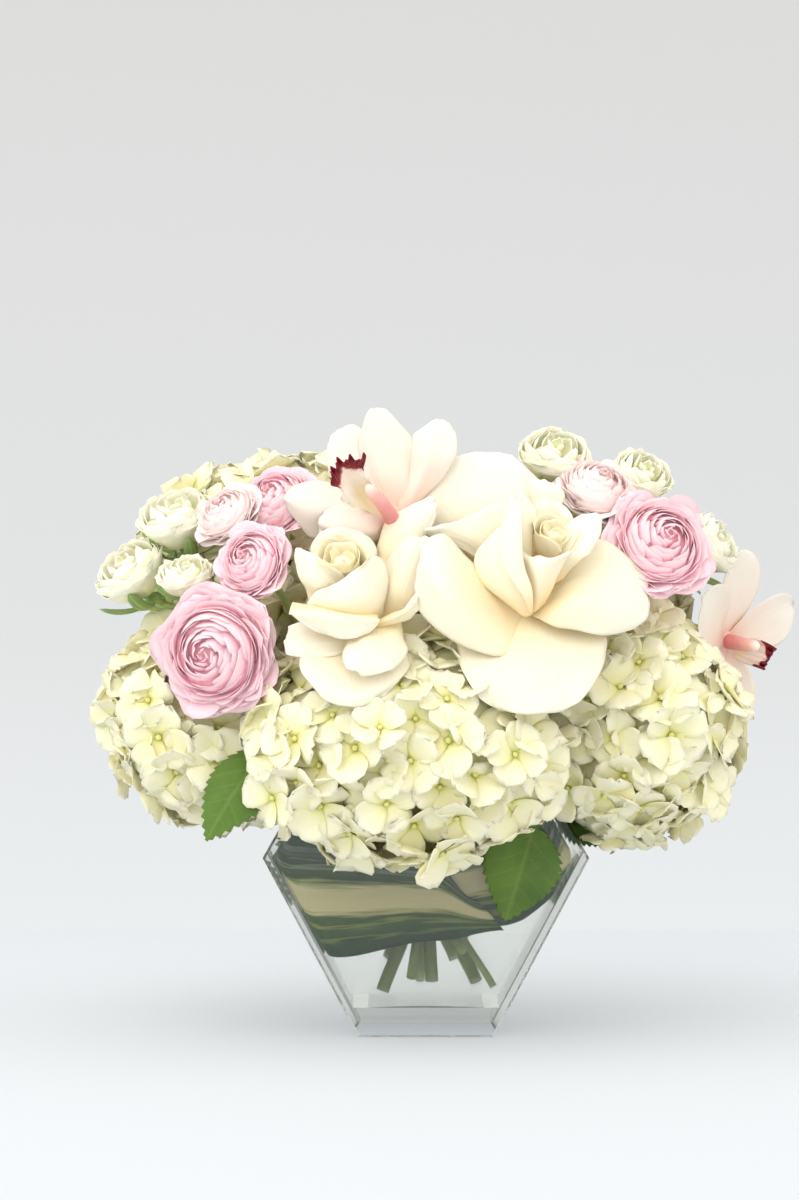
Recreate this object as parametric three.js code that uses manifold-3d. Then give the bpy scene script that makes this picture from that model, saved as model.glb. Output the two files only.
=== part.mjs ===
// A low domed table centrepiece: hydrangea, roses, ranunculus, spray roses and orchids in a
// clear six-sided glass vase that is lined with a variegated leaf and filled with water.
// Millimetres, +Z up, the front faces -Y, and the origin is the middle of the vase's flat base.
import * as THREE from "three";
import { mergeVertices } from "three/addons/utils/BufferGeometryUtils.js";
import { ConvexGeometry } from "three/addons/geometries/ConvexGeometry.js";
import Module from "manifold-3d";

const wasm = await Module();
wasm.setup();

// Driving dimensions of the vase
const BASE_WIDTH = 65;
const WAIST_WIDTH = 157;
const WAIST_Z = 86;
const RIM_WIDTH = 116;
const RIM_Z = 122;
const VASE_DEPTH = 76;
const WALL = 4.2;
const FLOOR_Z = 13.5;
const FLOOR_CROWN = 1.2;
const EDGE_ROUND = 1.2;
const WATER_Z = 98;

// Clear space between neighbouring pieces, and the thickness of petals and leaves
const GAP = 0.35;
const PETAL_THICK = 1.0;
const LEAF_THICK = 1.0;

// Hydrangea: a floret's radius, how far its rim stands above its eye, and how deep the core lies
const FLORET_RADIUS = 24;
const FLORET_CUP = 0.12;
const FLORET_DIP = 0.2;
const CORE_DEPTH = 20;
const FLORET_AREA = 2800;

// Hydrangea heads: the middle of each, and its half sizes out to the floret tips
const HEADS = [
  { name: "hydrangea_front", at: [-12, -66, 141], size: [84, 62, 60] },
  { name: "hydrangea_right", at: [96, -26, 152], size: [60, 62, 62] },
  { name: "hydrangea_left", at: [-104, -18, 153], size: [57, 60, 54] },
  { name: "hydrangea_upper_left", at: [-60, 14, 223], size: [80, 64, 60] },
  { name: "hydrangea_upper_right", at: [60, 12, 219], size: [74, 64, 56] },
  { name: "hydrangea_right_back", at: [92, 60, 154], size: [60, 58, 60] },
  { name: "hydrangea_back", at: [-2, 78, 156], size: [66, 56, 62] },
  { name: "hydrangea_left_back", at: [-86, 60, 150], size: [60, 56, 56] },
];

// Ranunculus: the middle of each bloom, where it faces, its radius and its colour
const PINK = 0xf3b9cf;
const PALE = 0xf8dfe4;
const RANUNCULUS = [
  { name: "ranunculus_left", at: [-101, -84, 186], face: [-0.3, -0.94, 0.02], radius: 31, colour: PINK },
  { name: "ranunculus_right", at: [110, -62, 236], face: [0.3, -0.86, 0.4], radius: 25, colour: PINK },
  { name: "ranunculus_upper", at: [-72, -48, 256], face: [-0.35, -0.7, 0.6], radius: 21, colour: PINK },
  { name: "ranunculus_pale", at: [-94, -52, 251], face: [-0.5, -0.6, 0.6], radius: 17, colour: PALE },
  { name: "ranunculus_beside_rose", at: [-81, -82, 228], face: [-0.45, -0.85, 0.3], radius: 18, colour: PINK },
  { name: "ranunculus_behind_rose", at: [82, -42, 262], face: [0.25, -0.6, 0.76], radius: 21, colour: PALE },
  { name: "ranunculus_back_left", at: [-78, 94, 214], face: [-0.4, 0.75, 0.5], radius: 27, colour: PINK },
  { name: "ranunculus_back_right", at: [84, 92, 212], face: [0.45, 0.75, 0.5], radius: 27, colour: PINK },
];

// Spray roses: small cream-green blooms that share a branched stalk
const SPRAY_ROSES = [
  { name: "spray_rose_left_1", at: [-140, -34, 221], face: [-0.75, -0.5, 0.45], radius: 17 },
  { name: "spray_rose_left_2", at: [-113, -66, 219], face: [-0.35, -0.85, 0.4], radius: 13 },
  { name: "spray_rose_left_3", at: [-121, -26, 246], face: [-0.55, -0.35, 0.75], radius: 17 },
  { name: "spray_rose_right_1", at: [62, -24, 277], face: [0.15, -0.3, 0.94], radius: 17 },
  { name: "spray_rose_right_2", at: [104, -20, 268], face: [0.4, -0.4, 0.82], radius: 15 },
  { name: "spray_rose_right_3", at: [137, -14, 236], face: [0.8, -0.35, 0.5], radius: 16 },
  { name: "spray_rose_back", at: [18, 62, 262], face: [0.1, 0.5, 0.85], radius: 17 },
];

// Roses: the receptacle, where the bloom faces, the bud's radius, and the petals. Each petal has its
// turn round the bloom's axis from the right, its length, half width, lean from the axis at foot and
// tip in degrees, and the radius that it is cupped to. A negative cup bends the edges back.
const ROSES = [
  {
    name: "rose_open",
    at: [54, -72, 214],
    face: [0.12, -0.66, 0.74],
    bud: 15,
    petals: [
      { turn: 212, length: 50, half: 25, lean: [56, 4], cup: 24 },
      { turn: 304, length: 42, half: 26, lean: [58, 14], cup: 26 },
      { turn: 350, length: 50, half: 33, lean: [72, 92], cup: 70 },
      { turn: 264, length: 66, half: 38, lean: [86, 120], cup: -90 },
      { turn: 188, length: 57, half: 30, lean: [76, 98], cup: 90 },
      { turn: 122, length: 62, half: 34, lean: [58, 64], cup: 70 },
      { turn: 52, length: 50, half: 26, lean: [56, 62], cup: 60 },
    ],
  },
  {
    name: "rose_cupped",
    at: [-40, -82, 206],
    face: [-0.1, -0.68, 0.72],
    bud: 21,
    petals: [
      { turn: 232, length: 35, half: 26, lean: [80, 56], cup: 27 },
      { turn: 8, length: 42, half: 25, lean: [62, 24], cup: 26 },
      { turn: 40, length: 58, half: 19, lean: [64, 62], cup: 40 },
      { turn: 210, length: 32, half: 20, lean: [84, 92], cup: 40 },
      { turn: 300, length: 48, half: 24, lean: [84, 104], cup: 45 },
      { turn: 262, length: 51, half: 30, lean: [92, 120], cup: -80 },
    ],
  },
  {
    name: "rose_back",
    at: [-10, 84, 212],
    face: [-0.05, 0.7, 0.71],
    bud: 19,
    petals: [
      { turn: 20, length: 38, half: 24, lean: [64, 26], cup: 26 },
      { turn: 80, length: 48, half: 28, lean: [70, 84], cup: 60 },
      { turn: 170, length: 46, half: 28, lean: [78, 98], cup: 70 },
      { turn: 260, length: 52, half: 30, lean: [84, 112], cup: -90 },
      { turn: 345, length: 46, half: 28, lean: [78, 98], cup: 70 },
    ],
  },
];

// Orchids: the foot of the column, where the column points, the turn of the top sepal, and scale
const ORCHIDS = [
  { name: "orchid_top", at: [-17, -60, 250], face: [-0.49, -0.7, 0.52], turn: 110, scale: 1 },
  { name: "orchid_right", at: [147, 8, 200], face: [0.78, -0.6, -0.15], turn: 150, scale: 0.82 },
];
const TEPALS = [
  { turn: 0, length: 56, half: 20, lean: [66, 62], cup: 60 },
  { turn: 66, length: 52, half: 17, lean: [72, 84], cup: 60 },
  { turn: -55, length: 54, half: 17, lean: [72, 84], cup: 60 },
  { turn: 128, length: 52, half: 16, lean: [74, 92], cup: 60 },
  { turn: -128, length: 52, half: 16, lean: [74, 92], cup: 60 },
];
const LIP = { turn: 180, length: 44, half: 15, lean: [46, -22], cup: 13 };
const COLUMN_LENGTH = 27;
const COLUMN_RADIUS = 4;
const COLUMN_FOOT = 1.5;

// Hydrangea leaves: where each one starts, where its tip hangs, the way its face looks, half width
const LEAVES = [
  { name: "leaf_left", from: [-74, -76, 142], to: [-102, -92, 99], face: [-0.35, -0.9, 0.2], half: 17 },
  { name: "leaf_front_right", from: [52, -45.9, 104], to: [38, -38.9, 56], face: [0.08, -1, 0.12], half: 19 },
  { name: "leaf_right", from: [62, -6, 106], to: [92, -8, 88], face: [0.5, -0.5, 0.7], half: 13 },
  { name: "leaf_back_left", from: [-52, 41.6, 106], to: [-62, 45.6, 60], face: [-0.1, 1, 0.1], half: 18 },
  { name: "leaf_back_right", from: [46, 41.6, 106], to: [58, 45.6, 62], face: [0.1, 1, 0.1], half: 18 },
];

// Stems: the radius of each kind, and the height of the neck where they gather
const HYDRANGEA_STEM = 3.2;
const ROSE_STEM = 2.4;
const THIN_STEM = 1.8;
const KNOT_Z = 108;
const KNOT_SIZE = [19, 16, 26];
const SHOULDER_Z = 142;
const SHORT_Z = 88;

// The liner leaf: how its lower and upper edges climb along its way round the inside of the glass.
// Places are parts of one turn from the front's right end, leftwards as seen from the front.
const LINER_PLACES = [0.0, 0.1, 0.28, 0.36, 0.5, 0.62, 0.8, 0.9, 1.0, 1.12, 1.2];
const LINER_LOWER = [52, 48, 39, 46, 54, 62, 74, 78, 66, 53, 47];
const LINER_UPPER = [66, 88, 96, 101, 107, 110, 114, 112, 103, 97, 92];
const LINER_STEPS = 28;
const LINER_ACROSS = 2;

const radians = THREE.MathUtils.degToRad;
const vector = ([x, y, z]) => new THREE.Vector3(x, y, z);

// A seeded random draw, the same on every run
function draws(seed) {
  let state = seed;
  return () => {
    state = (state + 0x6d2b79f5) | 0;
    let t = Math.imul(state ^ (state >>> 15), 1 | state);
    t = (t + Math.imul(t ^ (t >>> 7), 61 | t)) ^ t;
    return ((t ^ (t >>> 14)) >>> 0) / 4294967296;
  };
}

// A closed geometry as a solid, its shared corners merged and its empty triangles left out
function solid(geometry) {
  const bare = geometry.clone();
  bare.deleteAttribute("normal");
  bare.deleteAttribute("uv");
  const merged = mergeVertices(bare, 1e-4);
  const index = merged.index.array;
  const kept = [];
  for (let i = 0; i < index.length; i += 3) {
    const [a, b, c] = [index[i], index[i + 1], index[i + 2]];
    if (a !== b && b !== c && c !== a) kept.push(a, b, c);
  }
  const make = (corners) =>
    new wasm.Manifold(
      new wasm.Mesh({
        numProp: 3,
        vertProperties: new Float32Array(merged.attributes.position.array),
        triVerts: new Uint32Array(corners),
      }),
    );
  const result = make(kept);
  return result.volume() > 0 ? result : make(kept.reverse());
}

function join(solids) {
  return wasm.Manifold.union(solids);
}

// The largest body, without the hollows that joining seals and the scraps that cutting leaves
function wholeBody(joined) {
  const bodies = joined.decompose();
  return bodies.reduce((best, body) => (body.volume() > best.volume() ? body : best));
}

// A closed blade from a sheet: two faces split alike, and walls along the sheet's open edge
function thicken(sheet, thickness) {
  const bare = sheet.clone();
  bare.deleteAttribute("normal");
  bare.deleteAttribute("uv");
  const merged = mergeVertices(bare, 1e-4);
  merged.computeVertexNormals();
  const { position, normal } = merged.attributes;
  const count = position.count;
  const points = [];
  for (const side of [0.5, -0.5]) {
    for (let i = 0; i < count; i += 1) {
      const point = new THREE.Vector3().fromBufferAttribute(position, i);
      const out = new THREE.Vector3().fromBufferAttribute(normal, i);
      point.addScaledVector(out, side * thickness);
      points.push(point.x, point.y, point.z);
    }
  }
  const index = merged.index.array;
  const corners = [];
  const edges = new Map();
  for (let i = 0; i < index.length; i += 3) {
    const [a, b, c] = [index[i], index[i + 1], index[i + 2]];
    if (a === b || b === c || c === a) continue;
    corners.push(a, b, c, a + count, c + count, b + count);
    for (const [from, to] of [[a, b], [b, c], [c, a]]) edges.set(`${from},${to}`, [from, to]);
  }
  for (const [from, to] of edges.values()) {
    if (edges.has(`${to},${from}`)) continue;
    corners.push(to, from, from + count, to, from + count, to + count);
  }
  const blade = new THREE.BufferGeometry();
  blade.setAttribute("position", new THREE.Float32BufferAttribute(points, 3));
  blade.setIndex(corners);
  return blade;
}

// Moves every corner of a sheet to the place that a formula gives it
function bend(sheet, formula) {
  const position = sheet.attributes.position;
  for (let i = 0; i < position.count; i += 1) {
    const place = formula(position.getX(i), position.getY(i), position.getZ(i));
    position.setXYZ(i, place.x, place.y, place.z);
  }
  return sheet;
}

// A frame at a place: Z is the facing direction, Y is as upright as it can be, X is to the right
function frameAt(at, face, spin = 0) {
  const z = vector(face).normalize();
  const up = new THREE.Vector3(0, 0, 1);
  if (Math.abs(z.z) > 0.98) up.set(0, 1, 0);
  const x = up.clone().cross(z).normalize();
  const y = z.clone().cross(x);
  const frame = new THREE.Matrix4().makeBasis(x, y, z).setPosition(vector(at));
  return frame.multiply(new THREE.Matrix4().makeRotationZ(spin));
}

// The share of a petal's full half width at a place along it, from foot to tip
function petalWidth(along, tip) {
  const widest = 0.62;
  const foot = 0.22;
  if (along < widest) return foot + (1 - foot) * Math.sin(((Math.PI / 2) * along) / widest);
  const past = (along - widest) / (1 - widest);
  return Math.sqrt(1 - (1 - tip * tip) * past * past);
}

// A petal in its bloom's frame, from a foot near the axis outwards along an arc
function petal(shape, { across = 2, along = 3, tip = 0.5, foot = 3, rise = 0, thick = PETAL_THICK }) {
  const turn = radians(shape.turn);
  const start = radians(shape.lean[0]);
  const end = radians(shape.lean[1]);
  const change = Math.abs(start - end) < 0.01 ? 0.01 : start - end;
  const arc = shape.length / change;
  const outward = new THREE.Vector3(Math.cos(turn), Math.sin(turn), 0);
  const sideways = new THREE.Vector3(-Math.sin(turn), Math.cos(turn), 0);
  const skew = shape.skew ?? 1.6;
  const sheet = bend(new THREE.PlaneGeometry(2, 1, across, along), (u, v) => {
    const t = v + 0.5;
    const lean = start - change * t;
    const radius = foot + arc * (Math.cos(lean) - Math.cos(start));
    const height = rise + arc * (Math.sin(start) - Math.sin(lean));
    const offset = u * shape.half * petalWidth(t, tip);
    const angle = offset / shape.cup;
    const inward = shape.cup * (1 - Math.cos(angle)) + skew * u;
    const point = outward.clone().multiplyScalar(radius - inward * Math.cos(lean));
    point.addScaledVector(sideways, shape.cup * Math.sin(angle));
    point.z = height + inward * Math.sin(lean);
    return point;
  });
  return thicken(sheet, thick);
}

// The profile of a tight bloom, in parts of its radius: out from the foot, over each ring of
// petals and down behind it, to the bud in the middle. The number after a place is its ring.
const RANUNCULUS_PROFILE = [
  [0, -0.8], [0.56, -0.62], [0.97, -0.1, 0], [1, 0.16, 0], [0.93, 0.17, 0], [0.8, -0.12],
  [0.76, 0.38, 1], [0.69, 0.39, 1], [0.55, 0.12],
  [0.5, 0.5, 2], [0.42, 0.5, 2], [0.22, 0.28], [0, 0.3],
];
const SPRAY_ROSE_PROFILE = [
  [0, -0.85], [0.6, -0.6], [1, 0.15, 0], [0.9, 0.17, 0],
  [0.62, -0.15], [0.5, 0.4, 1], [0.2, 0.55], [0, 0.42],
];
const ROSE_BUD_PROFILE = [
  [0, -0.1], [0.7, 0.1], [0.96, 0.9, 0], [0.9, 1.32, 0], [0.82, 1.3, 0], [0.66, 0.9],
  [0.62, 1.6, 1], [0.54, 1.58, 1], [0.36, 1.2], [0.26, 1.64, 2], [0, 1.5],
];

// A tight bloom: rings of petals grown together at their sides, their rims dipping between them
function tightBloom({ radius, profile, count, turn }) {
  const seamDrop = 0.13;
  const seamPinch = 0.09;
  const points = profile.map(([r, z]) => new THREE.Vector2(r * radius, z * radius));
  const lathe = new THREE.LatheGeometry(points, 2 * count).rotateX(Math.PI / 2);
  const position = lathe.attributes.position;
  for (let i = 0; i < position.count; i += 1) {
    const [r, z, ring] = profile[i % profile.length];
    const step = Math.floor(i / profile.length) % (2 * count);
    const seam = ring === undefined ? 0 : (step + ring) % 2;
    const around = radians(turn) + (Math.PI * step) / count;
    const reach = r * radius * (1 - seamPinch * seam);
    const height = (z - seamDrop * seam) * radius;
    position.setXYZ(i, reach * Math.cos(around), reach * Math.sin(around), height);
  }
  return lathe;
}

function ball(radii, at, detail = 1) {
  const geometry = new THREE.IcosahedronGeometry(1, detail);
  geometry.scale(...radii);
  return geometry.translate(...at);
}

// The space round a flower that its neighbours stay out of: its hull, grown by the gap or more
function envelope(geometries) {
  const points = [];
  for (const { attributes } of geometries) {
    for (let i = 0; i < attributes.position.count; i += 1) {
      points.push(new THREE.Vector3().fromBufferAttribute(attributes.position, i));
    }
  }
  const middle = new THREE.Box3().setFromPoints(points).getCenter(new THREE.Vector3());
  const hull = new ConvexGeometry(points);
  const { position, normal } = hull.attributes;
  let nearest = Infinity;
  for (let i = 0; i < position.count; i += 3) {
    const corner = new THREE.Vector3().fromBufferAttribute(position, i).sub(middle);
    nearest = Math.min(nearest, corner.dot(new THREE.Vector3().fromBufferAttribute(normal, i)));
  }
  const grown = 1 + GAP / nearest;
  hull.translate(-middle.x, -middle.y, -middle.z).scale(grown, grown, grown);
  return solid(hull.translate(middle.x, middle.y, middle.z));
}

// The outline of the vase seen from the front, moved inwards by a wall's thickness
function vaseOutline(inset, bottom, top, crown = 0) {
  const halfAt = (z) => {
    const lower = (WAIST_WIDTH - BASE_WIDTH) / 2 / WAIST_Z;
    const upper = (WAIST_WIDTH - RIM_WIDTH) / 2 / (RIM_Z - WAIST_Z);
    return z < WAIST_Z
      ? BASE_WIDTH / 2 + z * lower - inset * Math.hypot(1, lower)
      : WAIST_WIDTH / 2 - (z - WAIST_Z) * upper - inset * Math.hypot(1, upper);
  };
  const waist = Math.min(halfAt(WAIST_Z - 0.01), halfAt(WAIST_Z + 0.01));
  const shape = new THREE.Shape();
  shape.moveTo(-halfAt(bottom), bottom);
  if (crown > 0) shape.quadraticCurveTo(0, bottom + 2 * crown, halfAt(bottom), bottom);
  else shape.lineTo(halfAt(bottom), bottom);
  if (top > WAIST_Z) shape.lineTo(waist, WAIST_Z);
  shape.lineTo(halfAt(top), top);
  shape.lineTo(-halfAt(top), top);
  if (top > WAIST_Z) shape.lineTo(-waist, WAIST_Z);
  shape.closePath();
  return { shape, halfAt };
}

// A prism of an outline drawn in X and Z, as deep along Y as asked, centred on Y = 0
function prism(shape, depth, round = 0) {
  const geometry = new THREE.ExtrudeGeometry(shape, {
    depth: depth - 2 * round,
    curveSegments: 6,
    bevelEnabled: round > 0,
    bevelThickness: round,
    bevelSize: round,
    bevelOffset: -round,
    bevelSegments: 1,
  });
  geometry.translate(0, 0, round - depth / 2);
  return geometry.rotateX(Math.PI / 2);
}

const CAVITY_DEPTH = VASE_DEPTH - 2 * WALL;
const ABOVE_RIM = 20;

function glassVase() {
  const outside = solid(prism(vaseOutline(0, 0, RIM_Z).shape, VASE_DEPTH, EDGE_ROUND));
  const inside = vaseOutline(WALL, FLOOR_Z, RIM_Z + ABOVE_RIM, FLOOR_CROWN).shape;
  return outside.subtract(solid(prism(inside, CAVITY_DEPTH)));
}

function vaseSpace() {
  const grown = vaseOutline(-GAP, -GAP, RIM_Z + GAP).shape;
  return solid(prism(grown, VASE_DEPTH + 2 * GAP));
}

// Where a turn's share lies round the inside of the glass at a height, kept off the wall
function linerPoint(place, z, inset) {
  const corner = 13;
  const { halfAt } = vaseOutline(WALL + inset, FLOOR_Z, RIM_Z);
  const halfX = Math.min(halfAt(z), halfAt(WAIST_Z) - 1) - corner;
  const halfY = CAVITY_DEPTH / 2 - inset - corner;
  const share = ((place % 1) + 1) % 1;
  const sides = [
    { until: 0.3, from: [halfX, -halfY - corner], to: [-halfX, -halfY - corner] },
    { until: 0.37, middle: [-halfX, -halfY], start: -90 },
    { until: 0.43, from: [-halfX - corner, -halfY], to: [-halfX - corner, halfY] },
    { until: 0.5, middle: [-halfX, halfY], start: 180 },
    { until: 0.8, from: [-halfX, halfY + corner], to: [halfX, halfY + corner] },
    { until: 0.87, middle: [halfX, halfY], start: 90 },
    { until: 0.93, from: [halfX + corner, halfY], to: [halfX + corner, -halfY] },
    { until: 1.0, middle: [halfX, -halfY], start: 0 },
  ];
  const at = sides.findIndex((side) => share <= side.until);
  const begun = at > 0 ? sides[at - 1].until : 0;
  const part = (share - begun) / (sides[at].until - begun);
  const side = sides[at];
  if (side.from) {
    const x = THREE.MathUtils.lerp(side.from[0], side.to[0], part);
    return new THREE.Vector3(x, THREE.MathUtils.lerp(side.from[1], side.to[1], part), z);
  }
  const angle = radians(side.start - 90 * part);
  const x = side.middle[0] + corner * Math.cos(angle);
  return new THREE.Vector3(x, side.middle[1] + corner * Math.sin(angle), z);
}

// A value read off a list of values at the liner's places, smoothed between them
function alongLiner(values, place) {
  const last = LINER_PLACES.length - 1;
  const next = Math.max(1, LINER_PLACES.findIndex((p) => place <= p + 1e-9));
  const i = Math.min(next, last);
  const part = (place - LINER_PLACES[i - 1]) / (LINER_PLACES[i] - LINER_PLACES[i - 1]);
  return THREE.MathUtils.lerp(values[i - 1], values[i], part * part * (3 - 2 * part));
}

// The leaf that is wound once and a fifth round the inside, its second layer inside the first
function linerLeaf(inset, thick, margin = 0) {
  const end = LINER_PLACES[LINER_PLACES.length - 1];
  const layerStep = 2.2;
  const sheet = bend(new THREE.PlaneGeometry(1, 1, LINER_STEPS, LINER_ACROSS), (u, v) => {
    const place = (u + 0.5) * end;
    const low = alongLiner(LINER_LOWER, place) - margin;
    const high = alongLiner(LINER_UPPER, place) + margin;
    const atEnd = Math.abs(u) > 0.49;
    const over = atEnd ? 0.004 * margin * Math.sign(u) : 0;
    const slip = 0.055 * (v + 0.5) * Math.max(0, 1 - place / 0.2);
    const z = THREE.MathUtils.lerp(low, high, v + 0.5);
    const layer = layerStep * THREE.MathUtils.smoothstep(place, 0.76, 0.96);
    return linerPoint(place + 0.03 + slip + over, z, inset + layer);
  });
  return solid(thicken(sheet, thick));
}

// A floret: four rounded lobes round a sunk eye, as a blade in its own frame
function floret(size) {
  const lobeShare = { 0: 0, 1: 23, 2: 67 };
  const sheet = new THREE.CircleGeometry(1, 12);
  const position = sheet.attributes.position;
  position.setXYZ(0, 0, 0, -FLORET_DIP * size);
  for (let i = 1; i < position.count; i += 1) {
    const step = i - 1;
    const angle = radians(90 * Math.floor(step / 3) + lobeShare[step % 3]);
    const radius = size * (step % 3 === 0 ? 0.55 : 1);
    const height = step % 3 === 0 ? -0.08 : FLORET_CUP * (step % 3 === 1 ? 1 : 0.6);
    position.setXYZ(i, radius * Math.cos(angle), radius * Math.sin(angle), height * size);
  }
  return thicken(sheet, PETAL_THICK);
}

// The stalk that carries a floret, from its eye down into the head's core
function floretStalk(size, length) {
  const shaft = new THREE.CylinderGeometry(1.3, 2.4, length, 3).rotateX(Math.PI / 2);
  return shaft.translate(0, 0, 0.1 - FLORET_DIP * size - length / 2);
}

// Whether a place lies inside an ellipsoid that is grown or shrunk by a share
function within(place, head, share = 1) {
  const [x, y, z] = place.map((value, i) => (value - head.at[i]) / (head.size[i] * share));
  return x * x + y * y + z * z < 1;
}

const HEAD_SHARE = 1.06;
const CUT_SHARE = 1.14;
const CENTRE_ROOM = { at: [0, 0, 165], size: [70, 46, 62] };

// Whether any corner of a shape lies inside an ellipsoid that is grown or shrunk by a share
function touches({ attributes: { position } }, head, share) {
  for (let i = 0; i < position.count; i += 1) {
    if (within([position.getX(i), position.getY(i), position.getZ(i)], head, share)) return true;
  }
  return false;
}

// The hollow middle of the bouquet where only stems run
function stemRoom() {
  const profile = [[0, 100], [34, 118], [44, 150], [48, 180], [36, 206], [0, 218]];
  const points = profile.map(([r, z]) => new THREE.Vector2(r, z));
  const lathe = new THREE.LatheGeometry(points, 10);
  return solid(lathe.rotateX(Math.PI / 2).scale(1.25, 0.82, 1));
}

// A flower head: a core, and florets spread evenly over what its neighbours leave free, smaller
// where there is less room. The heads before it in the list keep their whole ellipsoid.
function hydrangeaHead(head, index, keepOut) {
  const random = draws(101 + 17 * index);
  const earlier = HEADS.slice(0, index);
  const [halfX, halfY, halfZ] = head.size;
  const surface = (4 * Math.PI * (halfX * halfY + halfY * halfZ + halfZ * halfX)) / 3;
  const count = Math.round(surface / FLORET_AREA);
  const blocked = join(keepOut);
  const blades = [];
  const inner = [solid(ball(head.size.map((half) => half - CORE_DEPTH), head.at))];
  for (let i = 0; i < count; i += 1) {
    const height = 1 - (2 * i + 1) / count;
    const angle = i * Math.PI * (3 - Math.sqrt(5)) + index;
    const ring = Math.sqrt(1 - height * height);
    const way = [ring * Math.cos(angle), ring * Math.sin(angle), height];
    const tip = head.at.map((value, k) => value + way[k] * head.size[k]);
    const out = vector(way.map((value, k) => value / head.size[k])).normalize();
    const wobble = [random() - 0.5, random() - 0.5, random() - 0.5];
    const face = out.toArray().map((value, k) => value + 0.25 * wobble[k]);
    const spin = random() * Math.PI;
    if (HEADS.some((other) => other !== head && within(tip, other, 0.95))) continue;
    if (within(tip, CENTRE_ROOM)) continue;
    for (const share of [1, 0.78, 0.58]) {
      const size = FLORET_RADIUS * share;
      const sunk = FLORET_CUP * size + (size * size) / (2 * Math.min(...head.size));
      const frame = frameAt(vector(tip).addScaledVector(out, -sunk).toArray(), face, spin);
      const shape = floret(size).applyMatrix4(frame);
      if (earlier.some((other) => touches(shape, other, HEAD_SHARE))) continue;
      const blade = solid(shape);
      if (blade.intersect(blocked).volume() > 0) continue;
      blades.push(blade);
      inner.push(solid(floretStalk(size, CORE_DEPTH - 2).applyMatrix4(frame)));
      break;
    }
  }
  const others = earlier.map(({ at, size }) => solid(ball(size.map((half) => half * CUT_SHARE), at)));
  return wholeBody(join([join(inner).subtract(join([blocked, ...others])), ...blades]));
}

// Petals and a core, joined, with the space that neighbours keep out of
function bloomOf(geometries, frame) {
  const placed = geometries.map((geometry) => geometry.applyMatrix4(frame));
  const body = join(placed.map(solid));
  return { body, space: envelope(placed) };
}

function ranunculus({ at, face, radius }, index) {
  const bloom = tightBloom({ radius, profile: RANUNCULUS_PROFILE, count: 5, turn: 31 * index });
  return bloomOf([bloom], frameAt(at, face));
}

function sprayRose({ at, face, radius }, index) {
  const bloom = tightBloom({ radius, profile: SPRAY_ROSE_PROFILE, count: 4, turn: 47 * index });
  return bloomOf([bloom], frameAt(at, face));
}

// A rose: a tight bud with its open petals round it, and the space that they take
function rose({ at, face, bud, petals }) {
  const frame = frameAt(at, face);
  const made = (grow) => {
    const heart = tightBloom({ radius: bud + grow, profile: ROSE_BUD_PROFILE, count: 3, turn: 20 });
    const form = { along: 3, across: 2, tip: 0.55, foot: 5, thick: PETAL_THICK + 2 * grow };
    const pieces = [heart.translate(0, 0, -grow), ...petals.map((shape) => petal(shape, form))];
    return join(pieces.map((piece) => solid(piece.applyMatrix4(frame))));
  };
  return { body: made(0), space: join([made(0), made(GAP)]) };
}

// An orchid: three sepals and two petals alike, and a lip that is rolled round the column
function orchid({ at, face, turn, scale }) {
  const frame = frameAt(at, face);
  const sized = (shape) => ({
    ...shape,
    turn: shape.turn + turn,
    length: shape.length * scale,
    half: shape.half * scale,
    cup: shape.cup * scale,
  });
  const made = (grow) => {
    const thick = PETAL_THICK + 2 * grow;
    const pieces = TEPALS.map((shape) => petal(sized(shape), { along: 2, tip: 0.3, foot: 1.5, thick }));
    pieces.push(petal(sized(LIP), { tip: 0.75, foot: 5, rise: -1, thick }));
    pieces.push(ball([7.5 + grow, 7.5 + grow, 6 + grow], [0, 0, -1.5], 0));
    return join(pieces.map((piece) => solid(piece.applyMatrix4(frame))));
  };
  return { body: made(0), space: join([made(0), made(GAP)]) };
}

// The rod in an orchid's middle that carries the pollen, in its own colour
function orchidColumn({ at, face, turn, scale }, grow) {
  const radius = COLUMN_RADIUS * scale + grow;
  const length = COLUMN_LENGTH * scale + grow;
  const rod = new THREE.CylinderGeometry(radius * 1.15, radius * 0.85, length, 6).rotateX(Math.PI / 2);
  rod.translate(0, 0, length / 2 + COLUMN_FOOT - grow);
  const lean = new THREE.Matrix4().makeRotationZ(radians(turn));
  const tilt = new THREE.Matrix4().makeRotationY(radians(6));
  return solid(rod.applyMatrix4(frameAt(at, face).multiply(lean).multiply(tilt)));
}

// A leaf with saw teeth, arched from its stalk to its tip
function serratedLeaf({ from, to, face, half }, grow = 0) {
  const start = vector(from);
  const way = vector(to).sub(start);
  const length = way.length();
  const along = way.clone().normalize();
  const across = along.clone().cross(vector(face)).normalize();
  const out = across.clone().cross(along).normalize();
  const teeth = 5;
  const outline = new THREE.Shape();
  const widthAt = (t) => Math.sin(Math.PI * Math.min(1, t ** 0.8)) * (1 - 0.15 * t);
  outline.moveTo(-1.5, 0);
  for (const side of [1, -1]) {
    for (let k = 0; k < teeth; k += 1) {
      const step = side > 0 ? k : teeth - 1 - k;
      const near = (step + 0.25) / teeth;
      const far = (step + 0.95) / teeth;
      const ends = [
        [side * (half * widthAt(near) + 0.8), near * length],
        [side * (half * widthAt(far) + 2.6), far * length],
      ];
      if (side < 0) ends.reverse();
      if (side > 0 && k === 0) outline.lineTo(1.5, 0);
      ends.forEach(([x, y]) => outline.lineTo(x, y));
    }
    if (side > 0) outline.lineTo(0, length);
  }
  outline.closePath();
  const flat = new THREE.ShapeGeometry(outline);
  const sheet = bend(flat, (x, y) => {
    const t = y / length;
    const arch = 0.06 * length * Math.sin(Math.PI * t) - 0.012 * x * x;
    const point = start.clone().addScaledVector(along, y).addScaledVector(across, x);
    return point.addScaledVector(out, arch);
  });
  return solid(thicken(sheet, LEAF_THICK + 2 * grow));
}

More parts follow.
